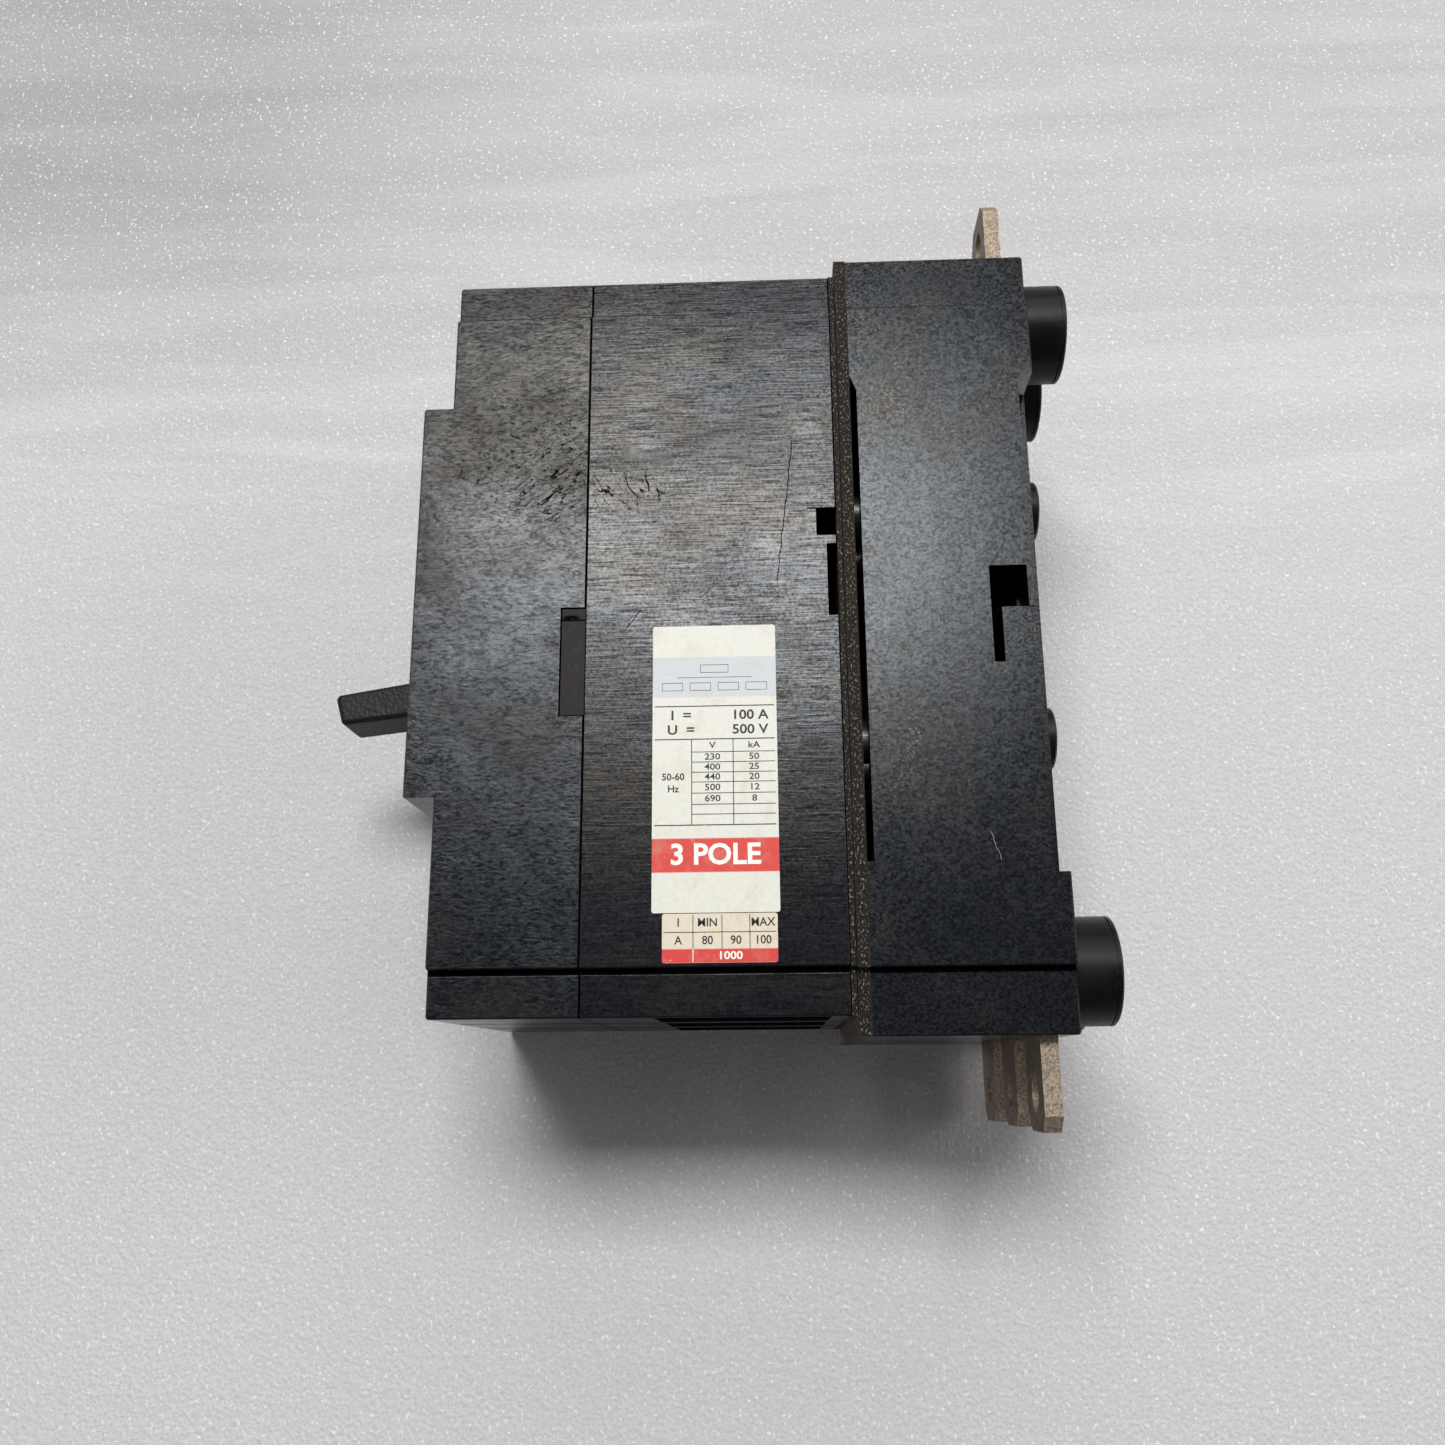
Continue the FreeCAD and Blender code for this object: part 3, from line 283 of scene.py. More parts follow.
def thermoset_case():
    """Black moulding compound, rubbed in fine lines along Y and stained brown."""
    s = Surface("case_thermoset", specular=0.2)
    lines = s.noise(0.36, 4.0, 0.68, (0.5, 26, 1))
    strokes = s.noise(0.80, 4.0, 0.65, (0.5, 5, 1), 5.0)
    cloud = s.noise(24, 4.0, 0.55, (1, 1.6, 1), 3.0, 0.6)
    grit = s.noise(0.70, 4.0, 0.70)
    color = s.mix(s.levels(grit, 0.35, 0.7), shade(0.004, BLUISH), shade(0.014, BLUISH))
    stain = s.math("MULTIPLY", s.levels(cloud, 0.5, 0.66), s.levels(strokes, 0.3, 0.6))
    color = s.mix(s.math("MULTIPLY", stain, 0.5), color, shade(0.024, BROWNISH))
    edge = s.noise(7.0, 4.0, 0.6, (1, 1.6, 1), 17.0)
    tide = s.math("MULTIPLY", s.patch((45, -89, 47), (4, 14, 12), 0.25), s.levels(edge, 0.42, 0.50))
    tide = s.math("MAXIMUM", tide, s.math("MULTIPLY", s.patch((45, -82, 20), (4, 15, 7), 0.5),
                                          s.levels(edge, 0.46, 0.56)))
    color = s.mix(s.math("MULTIPLY", tide, 0.4), color, shade(0.018, BROWNISH))
    smear = s.math("MULTIPLY", s.patch((45, -88, 30), (4, 11, 6.0), 0.4),
                   s.levels(s.noise(2.4, 6.0, 0.78, (1, 1.7, 1), 11.0, 0.8), 0.46, 0.60))
    color = s.mix(s.math("MULTIPLY", smear, 0.4), color, shade(0.09))
    pale = s.math("MULTIPLY", s.hairlines(42, 2.0, 3.0, 0.52), s.patch((45, -67, 6), (4, 8, 7), 0.4))
    color = s.mix(s.math("MULTIPLY", pale, 0.7), color, shade(0.20))
    color = s.mix(s.math("MULTIPLY", s.worn_edge(0.5), 0.35), color, shade(0.045))
    dark = s.math("MULTIPLY", s.scratch(*LONG_SCRATCH, 0.22), s.levels(grit, 0.34, 0.48))
    dark = s.math("MAXIMUM", dark, s.scratch(*SHORT_SCRATCH, 0.2))
    dark = s.math("MAXIMUM", dark, s.math("MULTIPLY", s.hairlines(-52, 2.2, 1.0, 0.48),
                                          s.patch((45, -92, 31), (4, 7, 5), 0.4)))
    # Painted shade: from here dark also holds black bands along the cover joint and the rear rim for the
    # shadow in those gaps, the notch's walls blackened as shade in the opening, and a band below the step
    # for its shadow.
    joint = s.math("ADD", s.band("Y", JOINT_Y - 1, JOINT_Y + 0.22, 0.06), s.band("Y", *CASE_REAR_Y, 0.06))
    dark = s.math("MAXIMUM", s.math("MAXIMUM", dark, joint), s.recess(*CASE_NOTCH))
    dark = s.math("MAXIMUM", dark, s.band("Z", *SIDE_GROOVE_Z))
    color = s.mix(dark, color, shade(SHADE_BLACK))
    rough = s.levels(cloud, 0.35, 0.68, 0.14, 0.20)
    rough = s.math("ADD", rough, s.math("MULTIPLY", s.levels(strokes, 0.38, 0.62), 0.04))
    rough = s.math("ADD", rough, s.math("MULTIPLY", tide, 0.06))
    rough = s.math("ADD", rough, s.math("MULTIPLY", dark, 0.6))
    normal = s.relief(lines, 0.02)
    normal = s.relief(grit, 0.03, over=normal)
    normal = s.relief(s.math("ADD", pale, dark), -0.06, over=normal)
    grain = s.math("ADD", s.math("MULTIPLY", lines, 0.6), s.math("MULTIPLY", grit, 0.4))
    s.tinge(s.math("MAXIMUM", tide, s.levels(s.noise(17, 3.0, 0.55, (1, 1.8, 1), 21.0), 0.42, 0.62)))
    sheen = s.levels(grain, 0.41, 0.59, 0.05, 0.34)
    sheen = s.math("MULTIPLY", sheen, s.levels(cloud, 0.36, 0.64, 1.15, 0.75))
    sheen = s.math("MULTIPLY", sheen, s.levels(dark, 0.0, 1.0, 1.0, 0.0))
    return s.finish(color, rough, normal, sheen)


def thermoset_cover():
    """The same compound with a leathery skin of short fine wrinkles."""
    s = Surface("cover_thermoset", specular=0.2)
    wrinkles = s.noise(0.52, 4.0, 0.70, (1, 2.4, 1), 1.0, 0.4)
    folds = s.noise(2.6, 4.0, 0.6, (1, 1.8, 1), 4.0, 0.6)
    cloud = s.noise(20, 4.0, 0.55, (1, 1.3, 1), 9.0, 0.5)
    color = s.mix(s.levels(wrinkles, 0.35, 0.68), shade(0.004, BLUISH), shade(0.014, BLUISH))
    color = s.mix(s.math("MULTIPLY", s.levels(cloud, 0.52, 0.68), 0.45), color, shade(0.023, BROWNISH))
    color = s.mix(s.math("MULTIPLY", s.worn_edge(0.5), 0.35), color, shade(0.045))
    fleck = s.levels(s.noise(0.8, 4.0, 0.75, (1, 1.6, 1), 15.0), 0.60, 0.66)
    dark = s.math("MULTIPLY", fleck, s.patch((45, -115, 42), (5, 14, 14), 0.5))
    dark = s.math("MAXIMUM", dark, s.math("MULTIPLY", s.hairlines(40, 1.7, 5.0, 0.49),
                                          s.patch((45, -109, 33), (5, 8, 8), 0.5)))
    # Painted shade: dark also holds black in the seat round the side insert, along the joint with the case
    # and in a band below the step, standing for shadow there.
    dark = s.math("MAXIMUM", dark, s.recess((SIDE_PLUG_FRONT - 0.35, JOINT_Y), PLUG_SEAT_Z))
    dark = s.math("MAXIMUM", dark, s.band("Y", JOINT_Y - 0.22, JOINT_Y + 1, 0.06))
    dark = s.math("MAXIMUM", dark, s.band("Z", *SIDE_GROOVE_Z))
    color = s.mix(dark, color, shade(SHADE_BLACK))
    rough = s.levels(cloud, 0.35, 0.68, 0.14, 0.20)
    rough = s.math("ADD", rough, s.math("MULTIPLY", s.levels(wrinkles, 0.38, 0.62), 0.08))
    rough = s.math("ADD", rough, s.math("MULTIPLY", dark, 0.6))
    normal = s.relief(wrinkles, 0.05)
    normal = s.relief(folds, 0.025, over=normal)
    normal = s.relief(dark, -0.06, over=normal)
    s.tinge(s.levels(s.math("ADD", s.axis("Z"), s.math("MULTIPLY", cloud, 80)), 35, 85))
    sheen = s.levels(s.math("ADD", s.math("MULTIPLY", wrinkles, 0.75), s.math("MULTIPLY", folds, 0.25)),
                     0.41, 0.59, 0.07, 0.31)
    sheen = s.math("MULTIPLY", sheen, s.levels(cloud, 0.36, 0.64, 1.2, 0.7))
    sheen = s.math("MULTIPLY", sheen, s.levels(dark, 0.0, 1.0, 1.0, 0.0))
    return s.finish(color, rough, normal, sheen)


def thermoset_base():
    """The same compound with a fine speckled grain, smoother than the case."""
    s = Surface("base_thermoset", specular=0.2)
    grain = s.noise(0.52, 4.0, 0.70, (1, 1.3, 1), 2.0)
    folds = s.noise(3.0, 4.0, 0.6, (1, 1, 1.3), 3.0, 0.4)
    cloud = s.noise(20, 4.0, 0.55, (1, 1, 1.3), 6.0, 0.4)
    color = s.mix(s.levels(grain, 0.38, 0.68), shade(0.004, BLUISH), shade(0.013, BLUISH))
    color = s.mix(s.math("MULTIPLY", s.levels(cloud, 0.55, 0.7), 0.4), color, shade(0.020, BROWNISH))
    pale = s.scratch(*BASE_SCRATCH, 0.2)
    color = s.mix(s.math("MULTIPLY", pale, 0.7), color, shade(0.30))
    color = s.mix(s.math("MULTIPLY", s.worn_edge(0.5), 0.35), color, shade(0.045))
    rough = s.levels(cloud, 0.35, 0.68, 0.16, 0.23)
    rough = s.math("ADD", rough, s.math("MULTIPLY", s.levels(grain, 0.38, 0.62), 0.06))
    normal = s.relief(grain, 0.018)
    normal = s.relief(folds, 0.02, over=normal)
    normal = s.relief(pale, -0.05, over=normal)
    s.tinge(s.levels(cloud, 0.46, 0.70))
    # Painted shade: deep is black in the side pocket and in a band below the step, standing for shadow
    # there.
    deep = s.math("MAXIMUM", s.recess(*BASE_POCKET), s.band("Z", *BASE_GROOVE_Z))
    color = s.mix(deep, color, shade(SHADE_BLACK))
    sheen = s.math("MULTIPLY", s.levels(grain, 0.40, 0.60, 0.09, 0.32), s.levels(deep, 0.0, 1.0, 1.0, 0.0))
    return s.finish(color, rough, normal, sheen)


def cap_plastic():
    """Smooth satin black plastic with faint rubbed cloudiness."""
    level, roughness = 0.0028, 0.37
    s = Surface("cap_plastic", specular=0.22)
    cloud = s.noise(7.0, 4.0, 0.6)
    fine = s.noise(0.6, 3.0, 0.6)
    color = s.mix(s.levels(cloud, 0.35, 0.7), shade(level * 0.75), shade(level * 1.5))
    color = s.mix(s.math("MULTIPLY", s.worn_edge(0.4), 0.5), color, shade(0.06))
    rough = s.levels(cloud, 0.3, 0.7, roughness - 0.06, roughness + 0.09)
    return s.finish(color, rough, s.relief(fine, 0.012))


def handle_plastic():
    """Grained black handle, rubbed grey along its edges."""
    s = Surface("handle_grained", specular=0.25)
    pores = s.cells(0.85, (1.3, 1, 1))
    fine = s.noise(0.5, 3.0, 0.6)
    color = s.mix(s.levels(s.noise(5, 4.0, 0.6), 0.35, 0.7), shade(0.004), shade(0.011))
    color = s.mix(s.math("MULTIPLY", s.worn_edge(0.8, 0.01, 0.12), 0.5), color, shade(0.07))
    normal = s.relief(pores, 0.10)
    return s.finish(color, s.levels(fine, 0.3, 0.7, 0.44, 0.6), s.relief(fine, 0.02, over=normal))


def phenolic():
    """Brown laminated board: smooth faces, layered and speckled sawn edges."""
    s = Surface("phenolic_board", specular=0.2)
    layers = s.noise(0.34, 3.0, 0.6, (30, 1, 30))
    specks = s.noise(0.50, 3.0, 0.65, (1, 0.8, 1.4), 3.0)
    edge = s.mix(s.levels(layers, 0.40, 0.62), (0.0015, 0.0013, 0.001), (0.005, 0.0043, 0.0032))
    edge = s.mix(s.levels(specks, 0.57, 0.62), edge, (0.23, 0.17, 0.11))
    # Painted shade: dark lines on the sawn edges at the plates' borders stand for the shadow in the gaps
    # there.
    rim = s.math("MAXIMUM", s.band("Y", -44.55, -44.1, 0.08), s.band("Y", -41.85, -41.0, 0.08))
    edge = s.mix(s.math("MULTIPLY", rim, 0.9), edge, (0.006, 0.006, 0.004))
    face = s.mix(s.levels(s.noise(6, 4.0), 0.35, 0.7), (0.040, 0.022, 0.012), (0.075, 0.043, 0.023))
    color = s.mix(s.levels(s.facing("Y"), 0.6, 0.9), edge, face)
    normal = s.relief(layers, 0.06)
    return s.finish(color, s.levels(specks, 0.3, 0.7, 0.55, 0.8), s.relief(specks, 0.10, over=normal))


def side_plug_plastic():
    """Brown-black insert, duller than the cover around it."""
    s = Surface("side_plug_resin", specular=0.2)
    fine = s.noise(0.9, 4.0, 0.65, (1, 1, 2.2))
    color = s.mix(s.levels(fine, 0.35, 0.7), shade(0.006, BROWNISH), shade(0.015, BROWNISH))
    chip = s.math("MULTIPLY", s.patch((44.6, -104.3, 0.6), (2, 1.9, 0.7), 0.3),
                  s.levels(s.noise(0.9, 4.0, 0.7, (1, 1.6, 1)), 0.34, 0.44))
    # Painted shade: the rim of the insert next to its seat is painted near black for the shadow in the gap
    # round it; joint also holds a dark line across the insert and a chip.
    joint = s.math("MAXIMUM", s.band("Z", -0.1, 0.3, 0.08), chip)
    inner = s.math("MULTIPLY", s.band("Y", SIDE_PLUG_FRONT + 0.3, JOINT_Y + 9), s.band("Z", *PLUG_INNER_Z))
    joint = s.math("MAXIMUM", joint, s.math("SUBTRACT", 1.0, inner))
    color = s.mix(s.math("MULTIPLY", joint, 0.9), color, shade(0.002))
    return s.finish(color, s.levels(fine, 0.3, 0.7, 0.5, 0.66), s.relief(fine, 0.03),
                    s.levels(joint, 0.0, 1.0, 0.2, 0.0))


def terminal_metal():
    """Aged tinned copper bar: brown flats, pale coarse sheared edges."""
    s = Surface("terminal_bar", metallic=0.55, specular=0.5)
    mottle = s.noise(2.6, 5.0, 0.68)
    fine = s.noise(0.34, 4.0, 0.75)
    tear = s.noise(0.55, 5.0, 0.75, (2.4, 1, 1), 4.0)
    flat = s.mix(s.levels(mottle, 0.36, 0.66), (0.045, 0.029, 0.016), (0.15, 0.10, 0.058))
    sheared = s.mix(s.levels(tear, 0.38, 0.64), (0.13, 0.098, 0.066), (0.46, 0.38, 0.29))
    color = s.mix(s.levels(s.facing("Y"), 0.5, 0.85), sheared, flat)
    color = s.mix(s.math("MULTIPLY", s.worn_edge(0.5), 0.7), color, (0.70, 0.60, 0.46))
    normal = s.relief(tear, 0.11)
    return s.finish(color, s.levels(fine, 0.3, 0.7, 0.42, 0.66), s.relief(fine, 0.03, over=normal))


def plated_metal(name, dark, light, roughness=0.34, stretch=(1, 1, 1)):
    """Bare or plated metal with handling marks and a slight tarnish."""
    s = Surface(name, metallic=1.0)
    tarnish = s.noise(5.5, 5.0, 0.62, shift=2.0)
    marks = s.noise(0.6, 4.0, 0.7, stretch)
    color = s.mix(s.levels(tarnish, 0.35, 0.68), dark, light)
    rough = s.math("ADD", s.levels(tarnish, 0.3, 0.7, roughness + 0.12, roughness - 0.04),
                   s.math("MULTIPLY", marks, 0.1))
    return s.finish(color, rough, s.relief(marks, 0.012))


def fibre_board(name, dark, light):
    """Pressed fibre or moulded resin with short flecks."""
    s = Surface(name, specular=0.3)
    flecks = s.noise(0.8, 5.0, 0.7, (1, 1.8, 1))
    color = s.mix(s.levels(flecks, 0.35, 0.7), dark, light)
    return s.finish(color, s.levels(flecks, 0.3, 0.7, 0.6, 0.78), s.relief(flecks, 0.03))


def braided_copper():
    """Copper strands that cross at a slant."""
    s = Surface("braided_copper", metallic=1.0)
    one = s.math("SINE", s.math("MULTIPLY", s.math("ADD", s.axis("Y"), s.axis("Z")), 5.0))
    two = s.math("SINE", s.math("MULTIPLY", s.math("SUBTRACT", s.axis("Z"), s.axis("X")), 5.0))
    weave = s.math("MULTIPLY", one, two)
    color = s.mix(s.levels(weave, -0.6, 0.6), (0.22, 0.09, 0.045), (0.74, 0.38, 0.22))
    return s.finish(color, s.levels(weave, -1, 1, 0.5, 0.32), s.relief(weave, 0.15))


def paper(name, tint, bands):
    """Printed label stock: bands of ink between heights, rubbed and dirtied at the rim."""
    s = Surface(name, specular=0.35)
    mottle = s.noise(1.0, 5.0, 0.7)
    grime = s.noise(6.0, 5.0, 0.65, shift=5.0)
    color = s.mix(s.levels(mottle, 0.3, 0.7), tuple(0.86 * part for part in tint), tint)
    for low, high, ink in bands:
        rubbed = s.levels(s.noise(1.6, 6.0, 0.75, shift=9.0), 0.30, 0.36)
        color = s.mix(s.math("MULTIPLY", s.band("Z", low, high), rubbed), color, ink)
    specks = s.levels(s.noise(0.9, 5.0, 0.7, shift=3.0), 0.68, 0.76)
    color = s.mix(s.math("MULTIPLY", specks, 0.5), color, (0.20, 0.15, 0.10))
    stained = s.math("MULTIPLY", s.levels(grime, 0.52, 0.72), 0.32)
    color = s.mix(stained, color, (0.46, 0.39, 0.27))
    return s.finish(color, s.levels(mottle, 0.3, 0.7, 0.42, 0.56), s.relief(mottle, 0.012))


def ink(name, color, worn):
    """Printing ink, worn through in places."""
    s = Surface(name, specular=0.3)
    wear = s.levels(s.noise(0.9, 5.0, 0.75, shift=6.0), 0.62, 0.7)
    mixed = s.mix(s.math("MULTIPLY", wear, 0.7), color, worn)
    return s.finish(mixed, s.levels(s.noise(0.4, 3.0), 0.3, 0.7, 0.45, 0.6))


def backdrop_foam():
    """Pale foam sheet with a fine beaded skin, painted glints, brighter bands painted as light on its folds
    and painted shade towards the top left, seen only from its front.
    """
    s = Surface("backdrop_foam", specular=0.06)
    beads = s.cells(1.25, shift=3.0)
    fine = s.noise(0.75, 4.0, 0.72)
    cloud = s.noise(110, 3.0, 0.5)
    dull, pale = shade(0.54, (1.0, 0.985, 0.985)), shade(0.68, (1.0, 0.99, 0.985))
    color = s.mix(s.levels(fine, 0.3, 0.7), dull, pale)
    color = s.mix(s.math("MULTIPLY", s.levels(cloud, 0.35, 0.65), 0.3), color, shade(0.59))
    # Painted highlight: brighter wavy bands in the upper part stand for light catching folds in the foam.
    folds = s.noise(34, 3.0, 0.5, (1, 4.5, 0.45), 2.0, 0.5)
    folds = s.math("MULTIPLY", s.levels(folds, 0.44, 0.62), s.levels(s.axis("Z"), 20, 90))
    color = s.mix(s.math("MULTIPLY", folds, 0.4), color, shade(0.74))
    # Painted shade: the sheet darkens towards the top, more so towards the left.
    high = s.levels(s.axis("Z"), 70, 190)
    left = s.levels(s.axis("Y"), -110, -235)
    painted_shade = s.math("MULTIPLY", high, s.math("ADD", s.math("MULTIPLY", left, 0.20), 0.16))
    color = s.mix(painted_shade, color, shade(0.02))
    # Painted glints: scattered pale specks stand for sparkle of light off the foam.
    painted_glint = s.levels(s.noise(1.0, 2.0, 0.5, shift=8.0), 0.62, 0.70)
    color = s.mix(painted_glint, color, shade(0.82))
    normal = s.relief(beads, 0.20)
    s.finish(color, s.levels(fine, 0.3, 0.7, 0.40, 0.62), s.relief(fine, 0.20, over=normal))
    behind = s.add("ShaderNodeNewGeometry").outputs["Backfacing"]
    clear = s.add("ShaderNodeBsdfTransparent")
    choose = s.add("ShaderNodeMixShader")
    s.join(behind, choose.inputs[0])
    s.join(s.shader.outputs[0], choose.inputs[1])
    s.join(clear.outputs[0], choose.inputs[2])
    s.join(choose.outputs[0], s.output.inputs[0])
    return s.material


def paint_frame():
    """Gives the CAD nodes in the list below their materials."""
    steel = plated_metal("zinc_steel", (0.34, 0.33, 0.30), (0.62, 0.61, 0.58))
    spring = plated_metal("spring_steel", (0.25, 0.25, 0.26), (0.55, 0.55, 0.56), 0.28)
    copper = plated_metal("copper_bar", (0.36, 0.16, 0.09), (0.72, 0.38, 0.25), 0.36)
    brass = plated_metal("brass_insert", (0.42, 0.29, 0.11), (0.74, 0.56, 0.26), 0.32)
    silver = plated_metal("silver_contact", (0.55, 0.54, 0.51), (0.85, 0.84, 0.82), 0.30)
    frame_steel = plated_metal("mechanism_steel", (0.28, 0.25, 0.18), (0.56, 0.50, 0.34), 0.36)
    chute_steel = plated_metal("splitter_steel", (0.16, 0.14, 0.13), (0.42, 0.38, 0.35), 0.42)
    bimetal = plated_metal("bimetal", (0.34, 0.33, 0.33), (0.60, 0.58, 0.56), 0.38, stretch=(1, 9, 1))
    moulded = fibre_board("moulded_resin", (0.018, 0.014, 0.012), (0.042, 0.032, 0.026))
    fibre = fibre_board("arc_fibre", (0.22, 0.10, 0.06), (0.38, 0.19, 0.11))
    trip_resin = fibre_board("trip_resin", (0.18, 0.17, 0.15), (0.34, 0.32, 0.28))
    groups = (
        (thermoset_base(), ("plug_in_base",)),
        (thermoset_case(), ("case",)),
        (thermoset_cover(), ("front_cover",)),
        (handle_plastic(), ("handle",)),
        (side_plug_plastic(), ("side_plugs",)),
        (cap_plastic(), ("contact_caps", "boss_caps")),
        (phenolic(), ("thick_insulating_plate", "thin_insulating_plate")),
        (terminal_metal(), ("line_terminals", "load_terminals")),
        (steel, ("contact_screws", "assembly_bolts", "spacer_sleeves", "cover_screws", "pin_screws",
                 "frame_spacers", "pivot_rods", "handle_pivot_studs", "toggle_pin", "arm_link_pin",
                 "cradle_link_pins")),
        (spring, ("jaw_clamp_springs",)),
        (copper, ("jaw_contacts", "line_conductors", "load_conductors", "plug_pins", "contact_arms")),
        (brass, ("case_inserts",)),
        (silver, ("fixed_contact_tips", "moving_contact_tips")),
        (frame_steel, ("mechanism_side_plates", "handle_yoke", "cradle", "upper_links", "lower_links",
                       "latch_lever")),
        (chute_steel, ("arc_splitter_plates", "magnet_yokes", "armature_flaps")),
        (bimetal, ("bimetal_strips",)),
        (moulded, ("crossbar",)),
        (fibre, ("arc_chute_walls",)),
        (trip_resin, ("trip_bar", "trip_bar_brackets")),
        (braided_copper(), ("flexible_braids",)),
        (button_plastic(), ("trip_button",)),
        (dial_plastic(), ("adjusting_dial",)),
    )
    for material, names in groups:
        for name in names:
            paint(NODES[name], material)


def button_plastic():
    """Red moulding with pale worn edges."""
    s = Surface("button_red", specular=0.5)
    fine = s.noise(0.7, 4.0, 0.6)
    color = s.mix(s.levels(s.noise(2.5, 4.0), 0.35, 0.7), (0.30, 0.012, 0.010), (0.47, 0.026, 0.020))
    color = s.mix(s.math("MULTIPLY", s.worn_edge(0.5), 0.5), color, (0.55, 0.16, 0.12))
    return s.finish(color, s.levels(fine, 0.3, 0.7, 0.36, 0.5), s.relief(fine, 0.012))


def dial_plastic():
    """Grey-white moulding with fine grime."""
    s = Surface("dial_grey", specular=0.5)
    fine = s.noise(0.7, 4.0, 0.6)
    cloud = s.levels(s.noise(2.5, 4.0), 0.35, 0.7)
    color = s.mix(cloud, shade(0.36, (1, 0.99, 0.94)), shade(0.52, (1, 0.99, 0.93)))
    color = s.mix(s.math("MULTIPLY", s.levels(fine, 0.60, 0.7), 0.5), color, shade(0.12))
    return s.finish(color, s.levels(fine, 0.3, 0.7, 0.38, 0.55), s.relief(fine, 0.012))


def paint(obj, material):
    obj.data.materials.clear()
    obj.data.materials.append(material)


# ---- meshes -------------------------------------------------------------
def piece(name, build, material, body="housing"):
    """A new mesh piece made by build(bmesh), riding on a body."""
    mesh = bpy.data.meshes.new(name)
    work = bmesh.new()
    build(work)
    bmesh.ops.recalc_face_normals(work, faces=work.faces)
    work.to_mesh(mesh)
    work.free()
    obj = bpy.data.objects.new(name, mesh)
    bpy.context.scene.collection.objects.link(obj)
    paint(obj, material)
    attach(obj, body)
    return obj


def add_slab(work, low, high):
    """A closed box between two corners, in millimetres."""
    size = [(h - l) * MM for l, h in zip(low, high)]
    centre = [(h + l) / 2 * MM for l, h in zip(low, high)]
    matrix = Matrix.Translation(centre) @ Matrix.Diagonal((*size, 1.0))
    bmesh.ops.create_cube(work, size=1.0, matrix=matrix)


def add_outline(work, points, x):
    """A closed prism with an outline in YZ and its thickness along X, in millimetres."""
    ends = [[work.verts.new((level * MM, y * MM, z * MM)) for y, z in points] for level in x]
    work.faces.new(ends[0])
    work.faces.new(ends[1][::-1])
    for k in range(len(points)):
        after = (k + 1) % len(points)
        work.faces.new((ends[0][k], ends[1][k], ends[1][after], ends[0][after]))


def rounded_rectangle(y, z, radius, steps=5):
    points = []
    corners = ((y[1], z[1], 0), (y[0], z[1], 1), (y[0], z[0], 2), (y[1], z[0], 3))
    for cy, cz, quarter in corners:
        inward_y = cy - radius if cy == y[1] else cy + radius
        inward_z = cz - radius if cz == z[1] else cz + radius
        for k in range(steps + 1):
            angle = math.radians(90 * (quarter + k / steps))
            points.append((inward_y + radius * math.cos(angle), inward_z + radius * math.sin(angle)))
    return points


# Text directions: on the side face letters run towards +Y, on the front towards +X.
SIDE_AXES = Matrix(((0, 0, 1), (1, 0, 0), (0, 1, 0)))
FRONT_AXES = Matrix(((1, 0, 0), (0, 0, -1), (0, 1, 0)))
PRINT_THICK = 0.03
CAPITAL_SCALE = 1.39         # font size over the height of its capitals


def add_text(work, words, place, height, axes, bold=0.0, wide=1.0):
    """Raised lettering centred at place, in millimetres, added to work."""
    curve = bpy.data.curves.new("words", "FONT")
    curve.body = words
    curve.size = height * MM * CAPITAL_SCALE
    curve.align_x = "CENTER"
    curve.align_y = "CENTER"
    curve.extrude = PRINT_THICK * MM / 2
    curve.offset = bold * MM
    curve.resolution_u = 3
    holder = bpy.data.objects.new("words", curve)
    bpy.context.scene.collection.objects.link(holder)
    bpy.context.view_layer.update()
    mesh = bpy.data.meshes.new_from_object(holder)
    mesh.transform(Matrix.Diagonal((wide, 1.0, 1.0, 1.0)))
    mesh.transform(Matrix.Translation([part * MM for part in place]) @ axes.to_4x4())
    work.from_mesh(mesh)
    bpy.data.objects.remove(holder)
    bpy.data.curves.remove(curve)
    bpy.data.meshes.remove(mesh)


def side_lines(work, x, rules):
    """Printed rules on the side face, each from (y, z) to (y, z)."""
    for (y0, z0), (y1, z1), width in rules:
        half = width / 2
        if abs(z0 - z1) < 1e-6:
            add_slab(work, (x[0], y0, z0 - half), (x[1], y1, z0 + half))
        else:
            add_slab(work, (x[0], y0 - half, z0), (x[1], y0 + half, z1))


# ---- side labels --------------------------------------------------------
LABEL_TOP = LABEL_HIGH.x / MM
TABLE_Z = (-27.4, -45.9)
TABLE_ROWS = (-30.2, -32.4, -34.6, -36.7, -39.1, -41.5, -43.6)
TABLE_Y = (-77.85, -69.05)
TABLE_FIGURES = (("V", "kA"), ("230", "50"), ("400", "25"), ("440", "20"), ("500", "12"), ("690", "8"))
TABLE_FIRST_COLUMN_Y = sum(TABLE_Y) / 2
RATING_Z = (-22.2, -25.4)
FREQUENCY_Z = (-35.6, -38.2)
MARK_Z, TOP_MARK_Z, MARK_RULE_Z = (-16.6, -14.9), (-12.6, -10.9), -13.7
BAND_Z, RED_Z = (-18.1, -9.1), (-55.8, -48.7)
TRIP_RED_Z, TRIP_RULE_Z = (-74.3, -71.5), -68.1
TRIP_WALLS_Y = (-77.65, -71.7, -66.0)
TRIP_TEXT_Z = (-66.2, -69.8)


def label_stock(name, low, high, material, node):
    y, z = (low.y / MM, high.y / MM), (low.z / MM, high.z / MM)
    x = (low.x / MM, high.x / MM - 0.02)
    outline = rounded_rectangle(y, z, 0.5)
    sheet = piece(name, lambda work: add_outline(work, outline, x), material)
    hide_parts(node)


